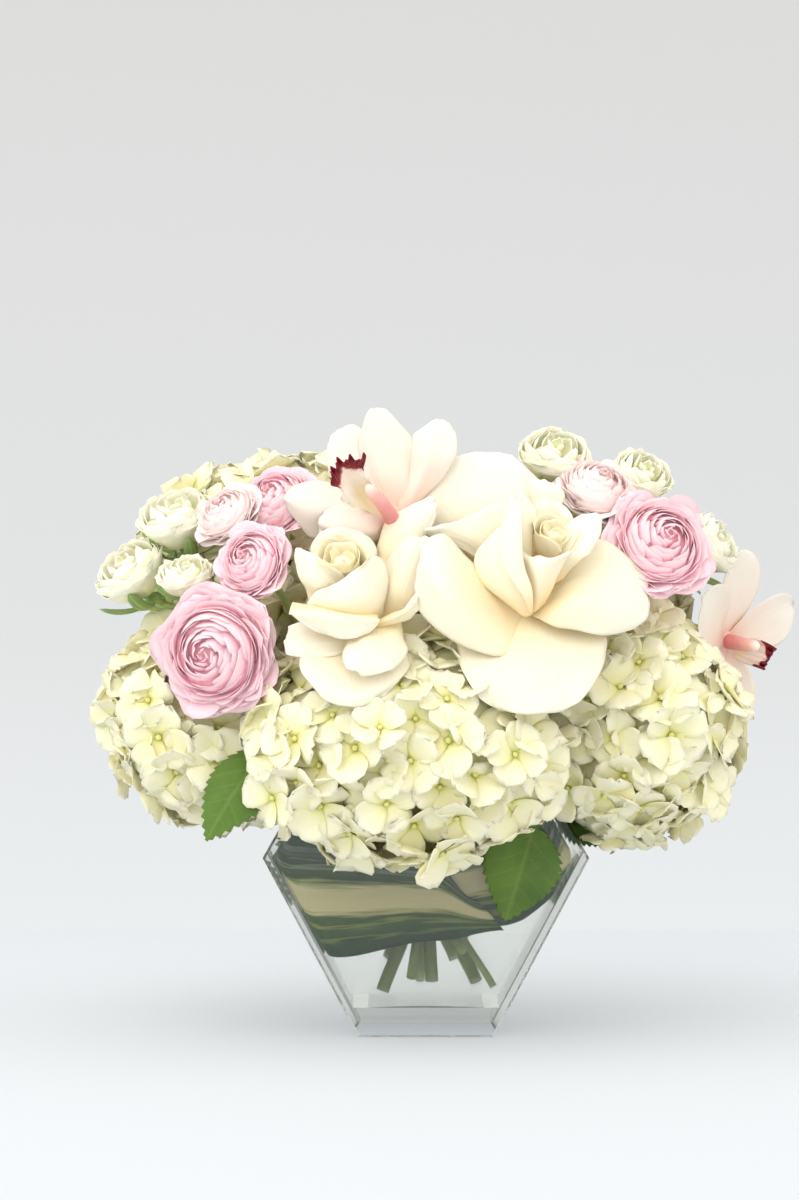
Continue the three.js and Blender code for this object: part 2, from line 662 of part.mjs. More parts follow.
// A round rod along a curve through a few points
function rod(points, radius, steps, sides) {
  const section = new THREE.Shape();
  for (let i = 0; i < sides; i += 1) {
    const angle = (2 * Math.PI * i) / sides;
    if (i === 0) section.moveTo(radius, 0);
    else section.lineTo(radius * Math.cos(angle), radius * Math.sin(angle));
  }
  section.closePath();
  const path = new THREE.CatmullRomCurve3(points.map(vector));
  return solid(new THREE.ExtrudeGeometry(section, { extrudePath: path, steps, bevelEnabled: false }));
}

// The point on a flower's axis that lies a depth behind its middle
function under({ at, face }, depth) {
  return vector(at).addScaledVector(vector(face).normalize(), -depth).toArray();
}

// Each stem's upper end under its flower, and its radius. A spray's blooms share one stalk, which
// ends where their short branches meet.
function stemPlan() {
  const plan = HEADS.map(({ name, at, size }) => {
    const tip = [at[0] * 0.86, at[1] * 0.86, at[2] - 0.1 * size[2]];
    return { name, tip, radius: HYDRANGEA_STEM };
  });
  ROSES.forEach((flower) => plan.push({ name: flower.name, tip: under(flower, 4), radius: ROSE_STEM }));
  ORCHIDS.forEach((flower) => plan.push({ name: flower.name, tip: under(flower, 8), radius: ROSE_STEM }));
  RANUNCULUS.forEach((flower) => {
    plan.push({ name: flower.name, tip: under(flower, flower.radius * 0.6), radius: THIN_STEM });
  });
  for (const side of ["left", "right", "back"]) {
    const blooms = SPRAY_ROSES.filter(({ name }) => name.includes(side));
    const ends = blooms.map((flower) => under(flower, flower.radius * 0.82));
    const middle = [0, 1, 2].map((k) => ends.reduce((sum, end) => sum + end[k], 0) / ends.length);
    const fork = [middle[0] * 0.72, middle[1] * 0.72, middle[2] - 22];
    plan.push({ name: `spray_${side}`, tip: fork, radius: THIN_STEM, branches: ends });
  }
  return plan;
}

// The cut ends of the stems that show through the glass
const SEEN_FEET = {
  hydrangea_left: [-21, -12, 20],
  hydrangea_front: [3, -15, 25],
  hydrangea_right: [15, -8, 38],
  ranunculus_right: [33, -12, 22],
};

// All stems, gathered tight in the neck and spread again in the water
function stemBundle(grow) {
  const tight = KNOT_SIZE.map((half) => half + grow);
  const rods = [solid(ball(tight, [0, 0, KNOT_Z]))];
  stemPlan().forEach(({ name, tip, radius, branches = [] }, i) => {
    const around = Math.atan2(tip[1], tip[0]);
    const way = [Math.cos(around), Math.sin(around)];
    const hold = tip[2] > 205 ? 5 : 11;
    const knot = [hold * way[0], 0.8 * hold * way[1], KNOT_Z];
    const shoulder = [tip[0] * 0.3, tip[1] * 0.26, SHOULDER_Z];
    const spread = [14, 22, 30][i % 3];
    const low = radius > THIN_STEM ? [spread * way[0], spread * way[1], 22 + 6 * (i % 5)] : [0, 0, SHORT_Z];
    const foot = SEEN_FEET[name] ?? low;
    const sides = radius > THIN_STEM ? 4 : 3;
    const lowest = [foot[0], foot[1], foot[2] - grow];
    rods.push(rod([tip, shoulder, knot, lowest], radius + grow, 3, sides));
    branches.forEach((branch) => rods.push(rod([branch, tip], radius + grow, 1, 3)));
    if (grow > 0) {
      const round = Array(3).fill(1.35 * radius + 2 * grow);
      [tip, ...branches].forEach((end) => rods.push(solid(ball(round, end, 0))));
    }
  });
  return wholeBody(join(rods));
}

// Colours, roughness and metalness of the pieces
const FINISH = {
  glass: { color: 0xf4faf8, roughness: 0.02, metalness: 0, transparent: true, opacity: 0.3 },
  water: { color: 0xeef6f2, roughness: 0.02, metalness: 0, transparent: true, opacity: 0.25 },
  liner: { color: 0x4c6b45, roughness: 0.35, metalness: 0 },
  stem: { color: 0x6f8a43, roughness: 0.6, metalness: 0 },
  hydrangea: { color: 0xf4f4de, roughness: 0.75, metalness: 0 },
  rose: { color: 0xfbf3df, roughness: 0.65, metalness: 0 },
  sprayRose: { color: 0xf3f5da, roughness: 0.7, metalness: 0 },
  orchid: { color: 0xfaf0e6, roughness: 0.55, metalness: 0 },
  column: { color: 0xdf8a8f, roughness: 0.5, metalness: 0 },
  leaf: { color: 0x5f8340, roughness: 0.5, metalness: 0 },
};

const centrepiece = new THREE.Group();

function add(name, body, finish) {
  const { vertProperties, triVerts } = body.getMesh();
  const geometry = new THREE.BufferGeometry();
  geometry.setAttribute("position", new THREE.BufferAttribute(Float32Array.from(vertProperties), 3));
  geometry.setIndex(Array.from(triVerts));
  geometry.computeVertexNormals();
  const mesh = new THREE.Mesh(geometry, new THREE.MeshStandardMaterial(finish));
  mesh.name = name;
  centrepiece.add(mesh);
}

// The vase and what stands in it
const vase = glassVase();
const stems = stemBundle(0);
const stemSpace = stemBundle(GAP);
const outsideVase = vaseSpace();
const liner = linerLeaf(GAP + LEAF_THICK / 2, LEAF_THICK).subtract(stemSpace);
const linerSpace = linerLeaf(GAP + LEAF_THICK / 2, LEAF_THICK + 2 * GAP + 1, 1);
const waterShape = vaseOutline(WALL + GAP, FLOOR_Z + FLOOR_CROWN + GAP, WATER_Z).shape;
const water = solid(prism(waterShape, CAVITY_DEPTH - 2 * GAP)).subtract(stemSpace).subtract(linerSpace);
add("glass_vase", vase, FINISH.glass);
add("water", wholeBody(water), FINISH.water);
add("liner_leaf", wholeBody(liner), FINISH.liner);
add("stem_bundle", stems, FINISH.stem);

// The blooms in front, each cut clear of those before it, then the leaves, then the heads behind
const taken = [stemSpace, outsideVase];

function addBloom({ name }, bloom, finish) {
  add(name, wholeBody(bloom.body.subtract(join(taken))), finish);
  taken.push(bloom.space);
}

ORCHIDS.forEach((flower) => {
  const bloom = orchid(flower);
  bloom.body = bloom.body.subtract(orchidColumn(flower, GAP));
  addBloom(flower, bloom, FINISH.orchid);
  add(`${flower.name}_column`, orchidColumn(flower, 0), FINISH.column);
});
ROSES.forEach((flower) => addBloom(flower, rose(flower), FINISH.rose));
RANUNCULUS.forEach((flower, i) => {
  const finish = { color: flower.colour, roughness: 0.65, metalness: 0 };
  addBloom(flower, ranunculus(flower, i), finish);
});
SPRAY_ROSES.forEach((flower, i) => {
  addBloom(flower, sprayRose(flower, i), FINISH.sprayRose);
});
LEAVES.forEach((leaf) => {
  const body = serratedLeaf(leaf).subtract(join(taken));
  add(leaf.name, wholeBody(body), FINISH.leaf);
  taken.push(serratedLeaf(leaf, GAP));
});
const inTheWay = [...taken, stemRoom()];
HEADS.forEach((head, i) => {
  add(head.name, hydrangeaHead(head, i, inTheWay), FINISH.hydrangea);
});

export default centrepiece;
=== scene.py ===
"""Floral table centrepiece in a six-sided glass vase: fine petals, florets, leaves, glass and water."""

import math

import bpy
import numpy as np
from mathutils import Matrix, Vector
from mathutils.bvhtree import BVHTree

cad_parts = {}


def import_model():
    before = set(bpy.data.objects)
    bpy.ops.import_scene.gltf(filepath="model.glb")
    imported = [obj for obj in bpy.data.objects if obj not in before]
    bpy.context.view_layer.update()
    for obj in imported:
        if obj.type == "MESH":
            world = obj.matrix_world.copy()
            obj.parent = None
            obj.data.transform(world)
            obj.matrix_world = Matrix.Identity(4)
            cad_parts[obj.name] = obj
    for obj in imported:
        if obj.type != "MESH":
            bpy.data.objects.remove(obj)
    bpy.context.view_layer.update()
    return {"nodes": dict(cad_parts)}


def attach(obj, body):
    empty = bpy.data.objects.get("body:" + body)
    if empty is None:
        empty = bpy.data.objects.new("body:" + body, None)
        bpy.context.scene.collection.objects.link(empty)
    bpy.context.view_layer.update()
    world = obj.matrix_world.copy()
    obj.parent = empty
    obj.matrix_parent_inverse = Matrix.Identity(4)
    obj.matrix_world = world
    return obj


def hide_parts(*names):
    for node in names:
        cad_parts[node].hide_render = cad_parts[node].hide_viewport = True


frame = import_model()

MM = 0.001
UP = np.array([0.0, 0.0, 1.0])

# The vase, as in the part's source, in millimetres
BASE_WIDTH = 65
WAIST_WIDTH = 157
WAIST_Z = 86
RIM_WIDTH = 116
RIM_Z = 122
VASE_DEPTH = 76
WALL = 4.2
FLOOR_Z = 13.5
WATER_Z = 98

# How far the water goes into the walls, and how far it stays above the floor
WATER_OVERLAP = 0.3
WATER_GAP = 0.4

# Where the camera stands, from the vase's front
VIEW_X = -12.7
VIEW_Z = 210.0
VIEW_DISTANCE = 1400.0

# Hydrangea heads: middle and half sizes out to the floret tips
HEADS = {
    "hydrangea_front": ((-12, -66, 141), (84, 62, 60)),
    "hydrangea_right": ((96, -26, 152), (60, 62, 62)),
    "hydrangea_left": ((-104, -18, 153), (57, 60, 54)),
    "hydrangea_upper_left": ((-60, 14, 223), (80, 64, 60)),
    "hydrangea_upper_right": ((60, 12, 219), (74, 64, 56)),
    "hydrangea_right_back": ((92, 60, 154), (60, 58, 60)),
    "hydrangea_back": ((-2, 76, 156), (66, 56, 62)),
    "hydrangea_left_back": ((-86, 60, 150), (60, 56, 56)),
}

# The room at the bouquet's middle without florets, each floret's share of a head's surface, and how
# far a head's core lies under its floret tips
CENTRE_ROOM = ((0, 0, 165), (70, 46, 62))
FLORET_AREA = 340
CORE_DEPTH = 19

# Ranunculus: middle, facing direction, radius, and whether it is the pale one
RANUNCULUS = {
    "ranunculus_left": ((-98, -85, 186), (-0.34, -0.92, -0.1), 28, False),
    "ranunculus_right": ((110, -62, 236), (0.3, -0.86, 0.4), 25, False),
    "ranunculus_upper": ((-72, -48, 256), (-0.35, -0.7, 0.6), 21, False),
    "ranunculus_pale": ((-94, -52, 251), (-0.5, -0.6, 0.6), 17, True),
    "ranunculus_beside_rose": ((-81, -82, 228), (-0.45, -0.85, 0.3), 18, False),
    "ranunculus_behind_rose": ((82, -42, 262), (0.25, -0.6, 0.76), 21, True),
    "ranunculus_back_left": ((-78, 94, 214), (-0.4, 0.75, 0.5), 27, False),
    "ranunculus_back_right": ((84, 92, 212), (0.45, 0.75, 0.5), 27, False),
}

# Spray roses: middle, facing direction and radius
SPRAY_ROSES = {
    "spray_rose_left_1": ((-140, -34, 221), (-0.55, -0.45, 0.7), 18),
    "spray_rose_left_2": ((-113, -66, 219), (-0.15, -0.45, 0.88), 13),
    "spray_rose_left_3": ((-119, -28, 246), (-0.2, -0.45, 0.87), 19),
    "spray_rose_right_1": ((62, -24, 277), (0.1, -0.6, 0.79), 17),
    "spray_rose_right_2": ((104, -20, 268), (0.35, -0.6, 0.72), 15),
    "spray_rose_right_3": ((137, -14, 236), (0.8, -0.35, 0.5), 16),
    "spray_rose_back": ((18, 62, 262), (0.1, 0.5, 0.85), 17),
}

# Roses: receptacle and facing direction
ROSES = {
    "rose_open": ((54, -72, 214), (0.12, -0.66, 0.74)),
    "rose_cupped": ((-40, -82, 206), (-0.1, -0.68, 0.72)),
    "rose_back": ((-10, 84, 212), (-0.05, 0.7, 0.71)),
}

# The back rose's bud, and its petals as turn, length, half width, lean at foot and tip from the axis
# in degrees, and cup radius (negative: the edges bend back)
BACK_BUD_RADIUS = 19
BACK_ROSE_PETALS = [
    (20, 38, 24, (64, 26), 26),
    (80, 48, 28, (70, 84), 60),
    (170, 46, 28, (78, 98), 70),
    (260, 52, 30, (84, 112), -90),
    (345, 46, 28, (78, 98), 70),
]

# Petals that the photo shows well, laid one by one. A point is how far right of the vase's middle and
# how high it is seen, both as at the vase's front, and how far in front of that it lies. Rows go
# from a petal's foot to its tip, points within a row across it.
LAID_ROSES = {
    "rose_open": [
        [[(46, 216, 34), (50, 216, 34), (54, 216, 34)],
         [(12, 236, 26), (32, 248, 30), (57, 248, 28)],
         [(-8, 256, 22), (21, 265, 20), (59, 262, 22)],
         [(2, 274, 20), (25, 281, 16), (46, 278, 18)]],
        [[(44, 214, 38), (47, 214, 38), (50, 216, 38)],
         [(21, 232, 36), (30, 239, 38), (47, 243, 36)],
         [(2, 239, 39), (22, 247, 34), (48, 256, 32)],
         [(-3, 244, 44), (14, 249, 34), (37, 258, 31)]],
        [[(52, 232, 34), (57, 232, 34), (62, 234, 34)],
         [(50, 256, 30), (58, 255, 34), (66, 255, 30)],
         [(49, 270, 26), (57, 268, 28), (67, 265, 26)]],
        [[(55, 226, 42), (61, 226, 42), (66, 228, 42)],
         [(52, 243, 42), (62, 243, 38), (70, 241, 44)],
         [(52, 256, 42), (62, 257, 40), (72, 248, 43)]],
        [[(44, 212, 48), (48, 212, 48), (52, 214, 44)],
         [(37, 234, 50), (43, 238, 54), (53, 241, 46)],
         [(35, 254, 48), (42, 260, 47), (54, 257, 40)]],
        [[(58, 218, 48), (62, 218, 50), (66, 220, 48)],
         [(60, 237, 46), (67, 234, 52), (75, 230, 57)],
         [(67, 248, 44), (82, 251, 47), (83, 237, 51)]],
        [[(49, 206, 56), (52, 204, 58), (57, 208, 56)],
         [(44, 219, 56), (54, 217, 67), (64, 220, 58)],
         [(41, 229, 54), (54, 226, 67), (69, 230, 58)],
         [(42, 236, 52), (54, 232, 62), (76, 233, 61)]],
        [[(43, 205, 56), (47, 202, 60), (51, 203, 62), (50, 204, 66)],
         [(25, 219, 54), (38, 215, 66), (50, 216, 69), (45, 216, 75)],
         [(23, 232, 52), (33, 231, 62), (46, 232, 66), (38, 233, 73)],
         [(33, 246, 48), (36, 248, 54), (44, 260, 55), (36, 256, 60)]],
        [[(57, 214, 44), (54, 209, 46), (52, 206, 50), (50, 203, 54)],
         [(71, 237, 42), (73, 222, 46), (72, 211, 62), (62, 198, 66)],
         [(87, 240, 38), (91, 223, 44), (89, 208, 60), (78, 194, 65)],
         [(98, 234, 34), (105, 219, 36), (106, 205, 46), (91, 191, 57)]],
        [[(42, 212, 46), (44, 208, 46), (47, 203, 50)],
         [(24, 229, 50), (22, 209, 69), (39, 184, 67)],
         [(12, 242, 46), (7, 219, 75), (18, 187, 71)],
         [(2, 244, 48), (-5, 224, 62), (-4, 200, 63)]],
        [[(42, 208, 42), (44, 208, 43), (47, 208, 44), (51, 208, 43), (54, 208, 42)],
         [(17, 196, 54), (32, 190, 62), (47, 188, 65), (66, 191, 60), (84, 196, 52)],
         [(15, 183, 62), (30, 174, 73), (49, 171, 76), (69, 174, 68), (87, 184, 58)],
         [(21, 171, 71), (34, 161, 77), (50, 157, 80), (67, 161, 76), (81, 171, 67)]],
    ],
    "rose_cupped": [
        [[(-26, 222, 42), (-20, 222, 44), (-13, 222, 42)],
         [(-24, 238, 38), (-15, 237, 44), (-5, 236, 43)],
         [(-18, 250, 34), (-8, 247, 41), (1, 242, 40)],
         [(-5, 257, 32), (4, 259, 34), (5, 247, 37)]],
        [[(-24, 200, 52), (-18, 200, 54), (-12, 201, 54)],
         [(-25, 217, 50), (-12, 217, 58), (-1, 213, 57)],
         [(-19, 233, 44), (-7, 232, 51), (3, 229, 50)],
         [(-10, 241, 40), (-2, 242, 42), (6, 238, 42)]],
        [[(-48, 217, 54), (-39, 218, 54), (-29, 218, 54)],
         [(-54, 231, 50), (-39, 236, 44), (-25, 229, 48)],
         [(-54, 240, 46), (-39, 246, 38), (-24, 238, 44)]],
        [[(-56, 209, 60), (-48, 210, 64), (-40, 212, 66)],
         [(-62, 223, 58), (-54, 219, 67), (-41, 222, 67)],
         [(-64, 235, 54), (-59, 234, 61), (-50, 230, 66)]],
        [[(-44, 199, 64), (-33, 197, 66), (-22, 199, 58)],
         [(-55, 206, 66), (-36, 208, 77), (-17, 213, 60)],
         [(-59, 212, 63), (-39, 221, 75), (-21, 236, 52)]],
        [[(-24, 200, 63), (-24, 198, 67), (-25, 196, 65)],
         [(-13, 206, 66), (-12, 203, 71), (-11, 199, 67)],
         [(-7, 212, 65), (-6, 208, 68), (-4, 204, 64)],
         [(-3, 217, 63), (-2, 212, 64), (-1, 205, 60)]],
        [[(-25, 199, 60), (-25, 196, 62), (-27, 193, 62)],
         [(-46, 200, 64), (-45, 192, 70), (-43, 184, 75)],
         [(-65, 200, 62), (-68, 191, 66), (-67, 184, 71)]],
        [[(-32, 197, 56), (-28, 197, 57), (-26, 197, 58), (-23, 198, 57), (-20, 199, 56)],
         [(-57, 187, 69), (-46, 182, 74), (-34, 180, 75), (-22, 183, 71), (-10, 187, 65)],
         [(-61, 178, 75), (-48, 171, 81), (-35, 168, 82), (-20, 171, 77), (-6, 180, 67)],
         [(-54, 168, 79), (-45, 162, 83), (-35, 160, 84), (-25, 163, 81), (-15, 169, 74)]],
        [[(-25, 199, 60), (-19, 200, 61), (-12, 200, 58)],
         [(-37, 191, 76), (-24, 188, 78), (-9, 191, 67)],
         [(-40, 181, 85), (-28, 175, 86), (-10, 179, 73)]],
        [[(-64, 209, 66), (-46, 206, 70), (-23, 203, 66)],
         [(-66, 205, 78), (-47, 202, 83), (-22, 200, 76)],
         [(-62, 199, 77), (-41, 192, 81), (-23, 196, 72)]],
    ],
}

# The laid roses' buds: middle, as a laid point, and radius
BUD_CENTRES = {"rose_open": ((60, 237, 46), 11), "rose_cupped": ((-40, 224, 58), 13)}

# The top orchid's petals, lip and column, laid in the same way
LAID_TEPALS = [
    [[(-24, 256, 20), (-19, 256, 20), (-14, 257, 20)],
     [(-43, 268, 10), (-34, 272, 11), (-22, 275, 12)],
     [(-50, 282, 2), (-42, 292, 2), (-30, 295, 5)]],
    [[(-19, 253, 24), (-13, 253, 24), (-8, 255, 24)],
     [(-28, 270, 18), (-18, 271, 23), (-7, 272, 20)],
     [(-34, 285, 14), (-21, 286, 21), (-6, 286, 16)],
     [(-31, 296, 14), (-24, 302, 16), (-13, 298, 14)]],
    [[(-14, 252, 26), (-10, 252, 27), (-6, 254, 26)],
     [(-10, 271, 19), (-2, 270, 25), (6, 266, 22)],
     [(-8, 288, 15), (3, 284, 23), (14, 277, 22)],
     [(-1, 295, 14), (9, 296, 17), (17, 285, 20)]],
    [[(-20, 254, 26), (-20, 249, 26), (-21, 244, 26)],
     [(-36, 264, 27), (-39, 254, 33), (-40, 244, 28)],
     [(-52, 268, 27), (-56, 254, 33), (-54, 239, 28)],
     [(-64, 266, 26), (-68, 259, 27), (-65, 248, 26)]],
    [[(-19, 250, 30), (-18, 246, 30), (-19, 241, 30)],
     [(-30, 255, 33), (-31, 246, 39), (-31, 236, 34)],
     [(-44, 257, 33), (-51, 248, 37), (-49, 238, 34)]],
]
LAID_LIP = [
    [(-19, 247, 28), (-17, 248, 28), (-15, 250, 28)],
    [(-30, 253, 38), (-28, 258, 32), (-22, 262, 36)],
    [(-38, 258, 48), (-34, 265, 40), (-28, 270, 46)],
    [(-43, 264, 54), (-38, 269, 48), (-30, 274, 50)],
    [(-46, 268, 56), (-40, 276, 58), (-27, 277, 54)],
]
LAID_COLUMN = [(-14, 245, 30), (-20, 255, 43), (-28.5, 265, 50)]

# Orchids: foot of the column and facing direction
ORCHIDS = {
    "orchid_top": ((-17, -60, 250), (-0.49, -0.7, 0.52)),
    "orchid_right": ((148, 2, 190), (0.62, -0.76, -0.15)),
}

# The right orchid's turn in degrees, its scale, and its tepals in the form of the back rose's petals
RIGHT_ORCHID_TURN = 150
RIGHT_ORCHID_SCALE = 0.86
TEPALS = [
    (0, 56, 20, (66, 62), 60),
    (66, 52, 17, (72, 84), 60),
    (-55, 54, 17, (72, 84), 60),
    (128, 52, 16, (74, 92), 60),
    (-128, 52, 16, (74, 92), 60),
]

# Hydrangea leaves: start, tip, the way the face looks, and half width
LEAVES = {
    "leaf_left": ((-74, -76, 142), (-102, -92, 99), (-0.35, -0.9, 0.2), 17),
    "leaf_front_right": ((52, -45.9, 104), (38, -38.9, 56), (0.08, -1, 0.12), 19),
    "leaf_right": ((62, -6, 106), (92, -8, 88), (0.5, -0.5, 0.7), 13),
    "leaf_back_left": ((-52, 41.6, 106), (-62, 45.6, 60), (-0.1, 1, 0.1), 18),
    "leaf_back_right": ((46, 41.6, 106), (58, 45.6, 62), (0.1, 1, 0.1), 18),
}

# The liner leaf's edges along its way round the inside of the glass, in turns
LINER_PLACES = [0.0, 0.1, 0.28, 0.36, 0.5, 0.62, 0.8, 0.9, 1.0, 1.12, 1.2]
LINER_LOWER = [51, 46, 38, 39, 46, 58, 70, 66, 53, 47, 45]
LINER_UPPER = [66, 88, 96, 101, 107, 110, 114, 112, 103, 97, 92]

# The share of a turn at which each of the vase's sides ends, and at which the corner after it ends
LINER_TURNS = ((0.3, 0.37), (0.43, 0.5), (0.8, 0.87), (0.93, 1.0))
LINER_CORNER = 7
LINER_INSET = 0.95
LINER_LAYER = 2.2

# Stems: the heights they pass, how far from the middle they are at the knot and at their feet, their
# radii, and the feet that the photo shows
HIGH_TIP_Z = 205
KNOT_Z = 108
SHOULDER_Z = 142
SHORT_Z = 88
BUNDLE_Z = 62
FOOT_Z = 22
INNER_HOLD = 5
OUTER_HOLD = 11
FOOT_SPREADS = (14, 22, 30)
HYDRANGEA_STEM = 3.2
ROSE_STEM = 2.4
THIN_STEM = 1.8
SEEN_FEET = {
    "hydrangea_left": (-21, -12, 20),
    "hydrangea_front": (3, -15, 25),
    "hydrangea_right": (15, -8, 38),
    "ranunculus_right": (33, -12, 22),
}

# Where the random draws of each kind of flower start, and the range of a wave's start in radians
SEEDS = {
    "hydrangea": 300, "ranunculus": 500, "spray_rose": 700, "rose_back": 902, "laid_rose": 950,
    "orchid_right": 1101, "florets": 11,
}
PHASES = (0, 6.3)

# Petals: the thickness of a blade's edge and the width of a petal's foot as shares, the place along
# it where it is widest, and, for laid ones, the widening of the last row, the thickness and the swell
EDGE_SHARE = 0.35
PETAL_FOOT = 0.22
PETAL_WIDEST = 0.62
TIP_SPREAD = 1.22
LAID_THICKNESS = 0.5
SWELL = 0.75


# Geometry
def unit(v):
    """The direction of v."""
    v = np.asarray(v, float)
    return v / np.linalg.norm(v)


def held(x, low, high):
    """How far x is from low to high, held between 0 and 1."""
    return np.clip((x - low) / (high - low), 0, 1)


def frame_at(face, spin=0.0):
    """Columns: right, up and facing, turned about the facing direction by spin radians."""
    z = unit(face)
    up = np.array([0.0, 1.0, 0.0]) if abs(z[2]) > 0.98 else UP
    x = unit(np.cross(up, z))
    y = np.cross(z, x)
    c, s = math.cos(spin), math.sin(spin)
    return np.column_stack([c * x + s * y, c * y - s * x, z])


def new_object(name, data):
    """A new object in the scene."""
    obj = bpy.data.objects.new(name, data)
    bpy.context.scene.collection.objects.link(obj)
    return obj


class Shape:
    """Blades, rods and balls gathered into one mesh. Each point carries three shares for its
    colour: across the blade, along it, and a tint of its own."""

    def __init__(self):
        self.points, self.faces, self.shares, self.count = [], [], [], 0

    def add(self, points, faces, shares):
        self.points.append(np.asarray(points, float))
        self.faces.extend([np.asarray(f) + self.count for f in faces])
        self.shares.append(np.asarray(shares, float))
        self.count += len(points)

    def placed(self, other, basis, at, scale=1.0, tint=None):
        """Adds a copy of another shape, turned, scaled and moved."""
        points = np.concatenate(other.points) @ (basis.T * scale) + np.asarray(at, float)
        shares = np.concatenate(other.shares).copy()
        if tint is not None:
            shares[:, 2] = tint
        self.add(points, other.faces, shares)

    def finish(self, name, material, slot, *nodes, smooth=True):
        """Makes the mesh a piece that stands for these nodes of the frame."""
        points = np.concatenate(self.points) * MM
        shares = np.concatenate(self.shares)
        mesh = bpy.data.meshes.new(name)
        mesh.vertices.add(len(points))
        mesh.vertices.foreach_set("co", points.astype(np.float32).ravel())
        sizes = np.concatenate([np.full(len(f), f.shape[1]) for f in self.faces])
        corners = np.concatenate([f.ravel() for f in self.faces])
        starts = np.concatenate([[0], np.cumsum(sizes)[:-1]])
        mesh.loops.add(len(corners))
        mesh.loops.foreach_set("vertex_index", corners.astype(np.int32))
        mesh.polygons.add(len(sizes))
        mesh.polygons.foreach_set("loop_start", starts.astype(np.int32))
        mesh.polygons.foreach_set("use_smooth", np.full(len(sizes), smooth))
        mesh.update(calc_edges=True)
        mesh.validate()
        layer = mesh.attributes.new("shares", "FLOAT_COLOR", "POINT")
        colour = np.column_stack([shares, np.ones(len(shares))])
        layer.data.foreach_set("color", colour.astype(np.float32).ravel())
        mesh.materials.append(material)
        obj = new_object(name, mesh)
        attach(obj, "root")
        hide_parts(*nodes)
        return obj


def grid_faces(rows, columns):
    """The quads of a grid of points, row by row."""
    i = np.arange(rows * columns).reshape(rows, columns)
    quads = np.stack([i[:-1, :-1], i[:-1, 1:], i[1:, 1:], i[1:, :-1]], axis=-1)
    return quads.reshape(-1, 4)


def normals(grid):
    """The unit normals of a grid of points."""
    normal = np.cross(np.gradient(grid, axis=1), np.gradient(grid, axis=0))
    return normal / np.maximum(np.linalg.norm(normal, axis=2, keepdims=True), 1e-9)


def blade(shape, grid, thick, across, along, tint=0.5):
    """A closed blade over a grid of points, thinner along its edges."""
    rows, columns = grid.shape[:2]
    half = np.full((rows, columns, 1), thick / 2)
    half[0], half[-1], half[:, 0], half[:, -1] = [EDGE_SHARE * thick / 2] * 4
    push = normals(grid) * half
    top, bottom = grid + push, grid - push
    faces = grid_faces(rows, columns)
    count = rows * columns
    i = np.arange(count).reshape(rows, columns)
    loop = np.concatenate([i[0, :-1], i[:-1, -1], i[-1, :0:-1], i[:0:-1, 0]])
    after = np.roll(loop, -1)
    rim = np.stack([after, loop, loop + count, after + count], axis=-1)
    u, v = np.broadcast_to(across, (rows, columns)), np.broadcast_to(along, (rows, columns))
    shares = np.stack([u, v, np.full((rows, columns), tint)], axis=-1).reshape(-1, 3)
    points = np.concatenate([top.reshape(-1, 3), bottom.reshape(-1, 3)])
    shape.add(points, [faces, faces[:, ::-1] + count, rim], np.concatenate([shares, shares]))


def petal_width(t, tip):
    """The share of a petal's full half width at a place along it."""
    inner = PETAL_FOOT + (1 - PETAL_FOOT) * np.sin(np.pi / 2 * np.minimum(t, PETAL_WIDEST) / PETAL_WIDEST)
    past = held(t, PETAL_WIDEST, 1)
    return np.where(t < PETAL_WIDEST, inner, np.sqrt(np.maximum(0, 1 - (1 - tip * tip) * past * past)))


def petal(shape, turn, length, half, lean, cup, *, tip, foot, thick, nu, nv, rise=0.0, skew=1.6,
          curl=0.0, wave=0.0, waves=1.0, phase=0.0, notch=0.0, tint=0.5):
    """A petal in its bloom's frame, on the source's arc, with an edge that can curl and wave."""
    steps = np.linspace(0, 1, nv + 1)
    t = steps[:, None]
    u = np.linspace(-1, 1, nu + 1)[None, :]
    start, end = np.radians(lean[0]), np.radians(lean[1])
    leans = start + (end - start) * steps + np.radians(curl) * held(steps, PETAL_WIDEST, 1) ** 1.5
    mean = (leans[1:] + leans[:-1]) / 2
    radius = foot + np.concatenate([[0], np.cumsum(np.sin(mean))])[:, None] * length / nv
    height = rise + np.concatenate([[0], np.cumsum(np.cos(mean))])[:, None] * length / nv
    leans = leans[:, None]
    angle = u * half * petal_width(t, tip) / cup
    ripple = np.sin(waves * np.pi * u + phase) + 0.5 * np.sin(2.3 * waves * u + 2 * phase + 3 * t)
    inward = cup * (1 - np.cos(angle)) + skew * u + wave * t ** 2 * ripple
    pull = notch * length * t ** 4 * np.exp(-((u + 0.1 * np.sin(phase)) / 0.3) ** 2)
    r = radius - inward * np.cos(leans) - pull * np.sin(leans)
    side = cup * np.sin(angle)
    z = height + inward * np.sin(leans) - pull * np.cos(leans)
    c, s = math.cos(math.radians(turn)), math.sin(math.radians(turn))
    grid = np.stack([r * c - side * s, r * s + side * c, z], axis=-1)
    blade(shape, grid, thick, (u + 1) / 2, t, tint)


def seen(point):
    """The place of a laid point: from where it is seen and how near it is to where it lies."""
    across, high, near = point
    share = (VIEW_DISTANCE - near) / VIEW_DISTANCE
    x = VIEW_X + (across - VIEW_X) * share
    z = VIEW_Z + (high - VIEW_Z) * share
    return np.array([x, -VASE_DEPTH / 2 - near, z])


def smooth_way(points, steps):
    """Points along smooth ways through a list of points, or of rows of them."""
    p = np.asarray(points, float)
    p = np.concatenate([2 * p[:1] - p[1:2], p, 2 * p[-1:] - p[-2:-1]])
    place = np.linspace(0, len(p) - 3, steps + 1)
    k = np.minimum(place.astype(int), len(p) - 4)
    t = (place - k).reshape([-1] + [1] * (p.ndim - 1))
    a, b, c, d = p[k], p[k + 1], p[k + 2], p[k + 3]
    return (2 * b + (c - a) * t + (2 * a - 5 * b + 4 * c - d) * t ** 2 + (3 * b - a - 3 * c + d) * t ** 3) / 2


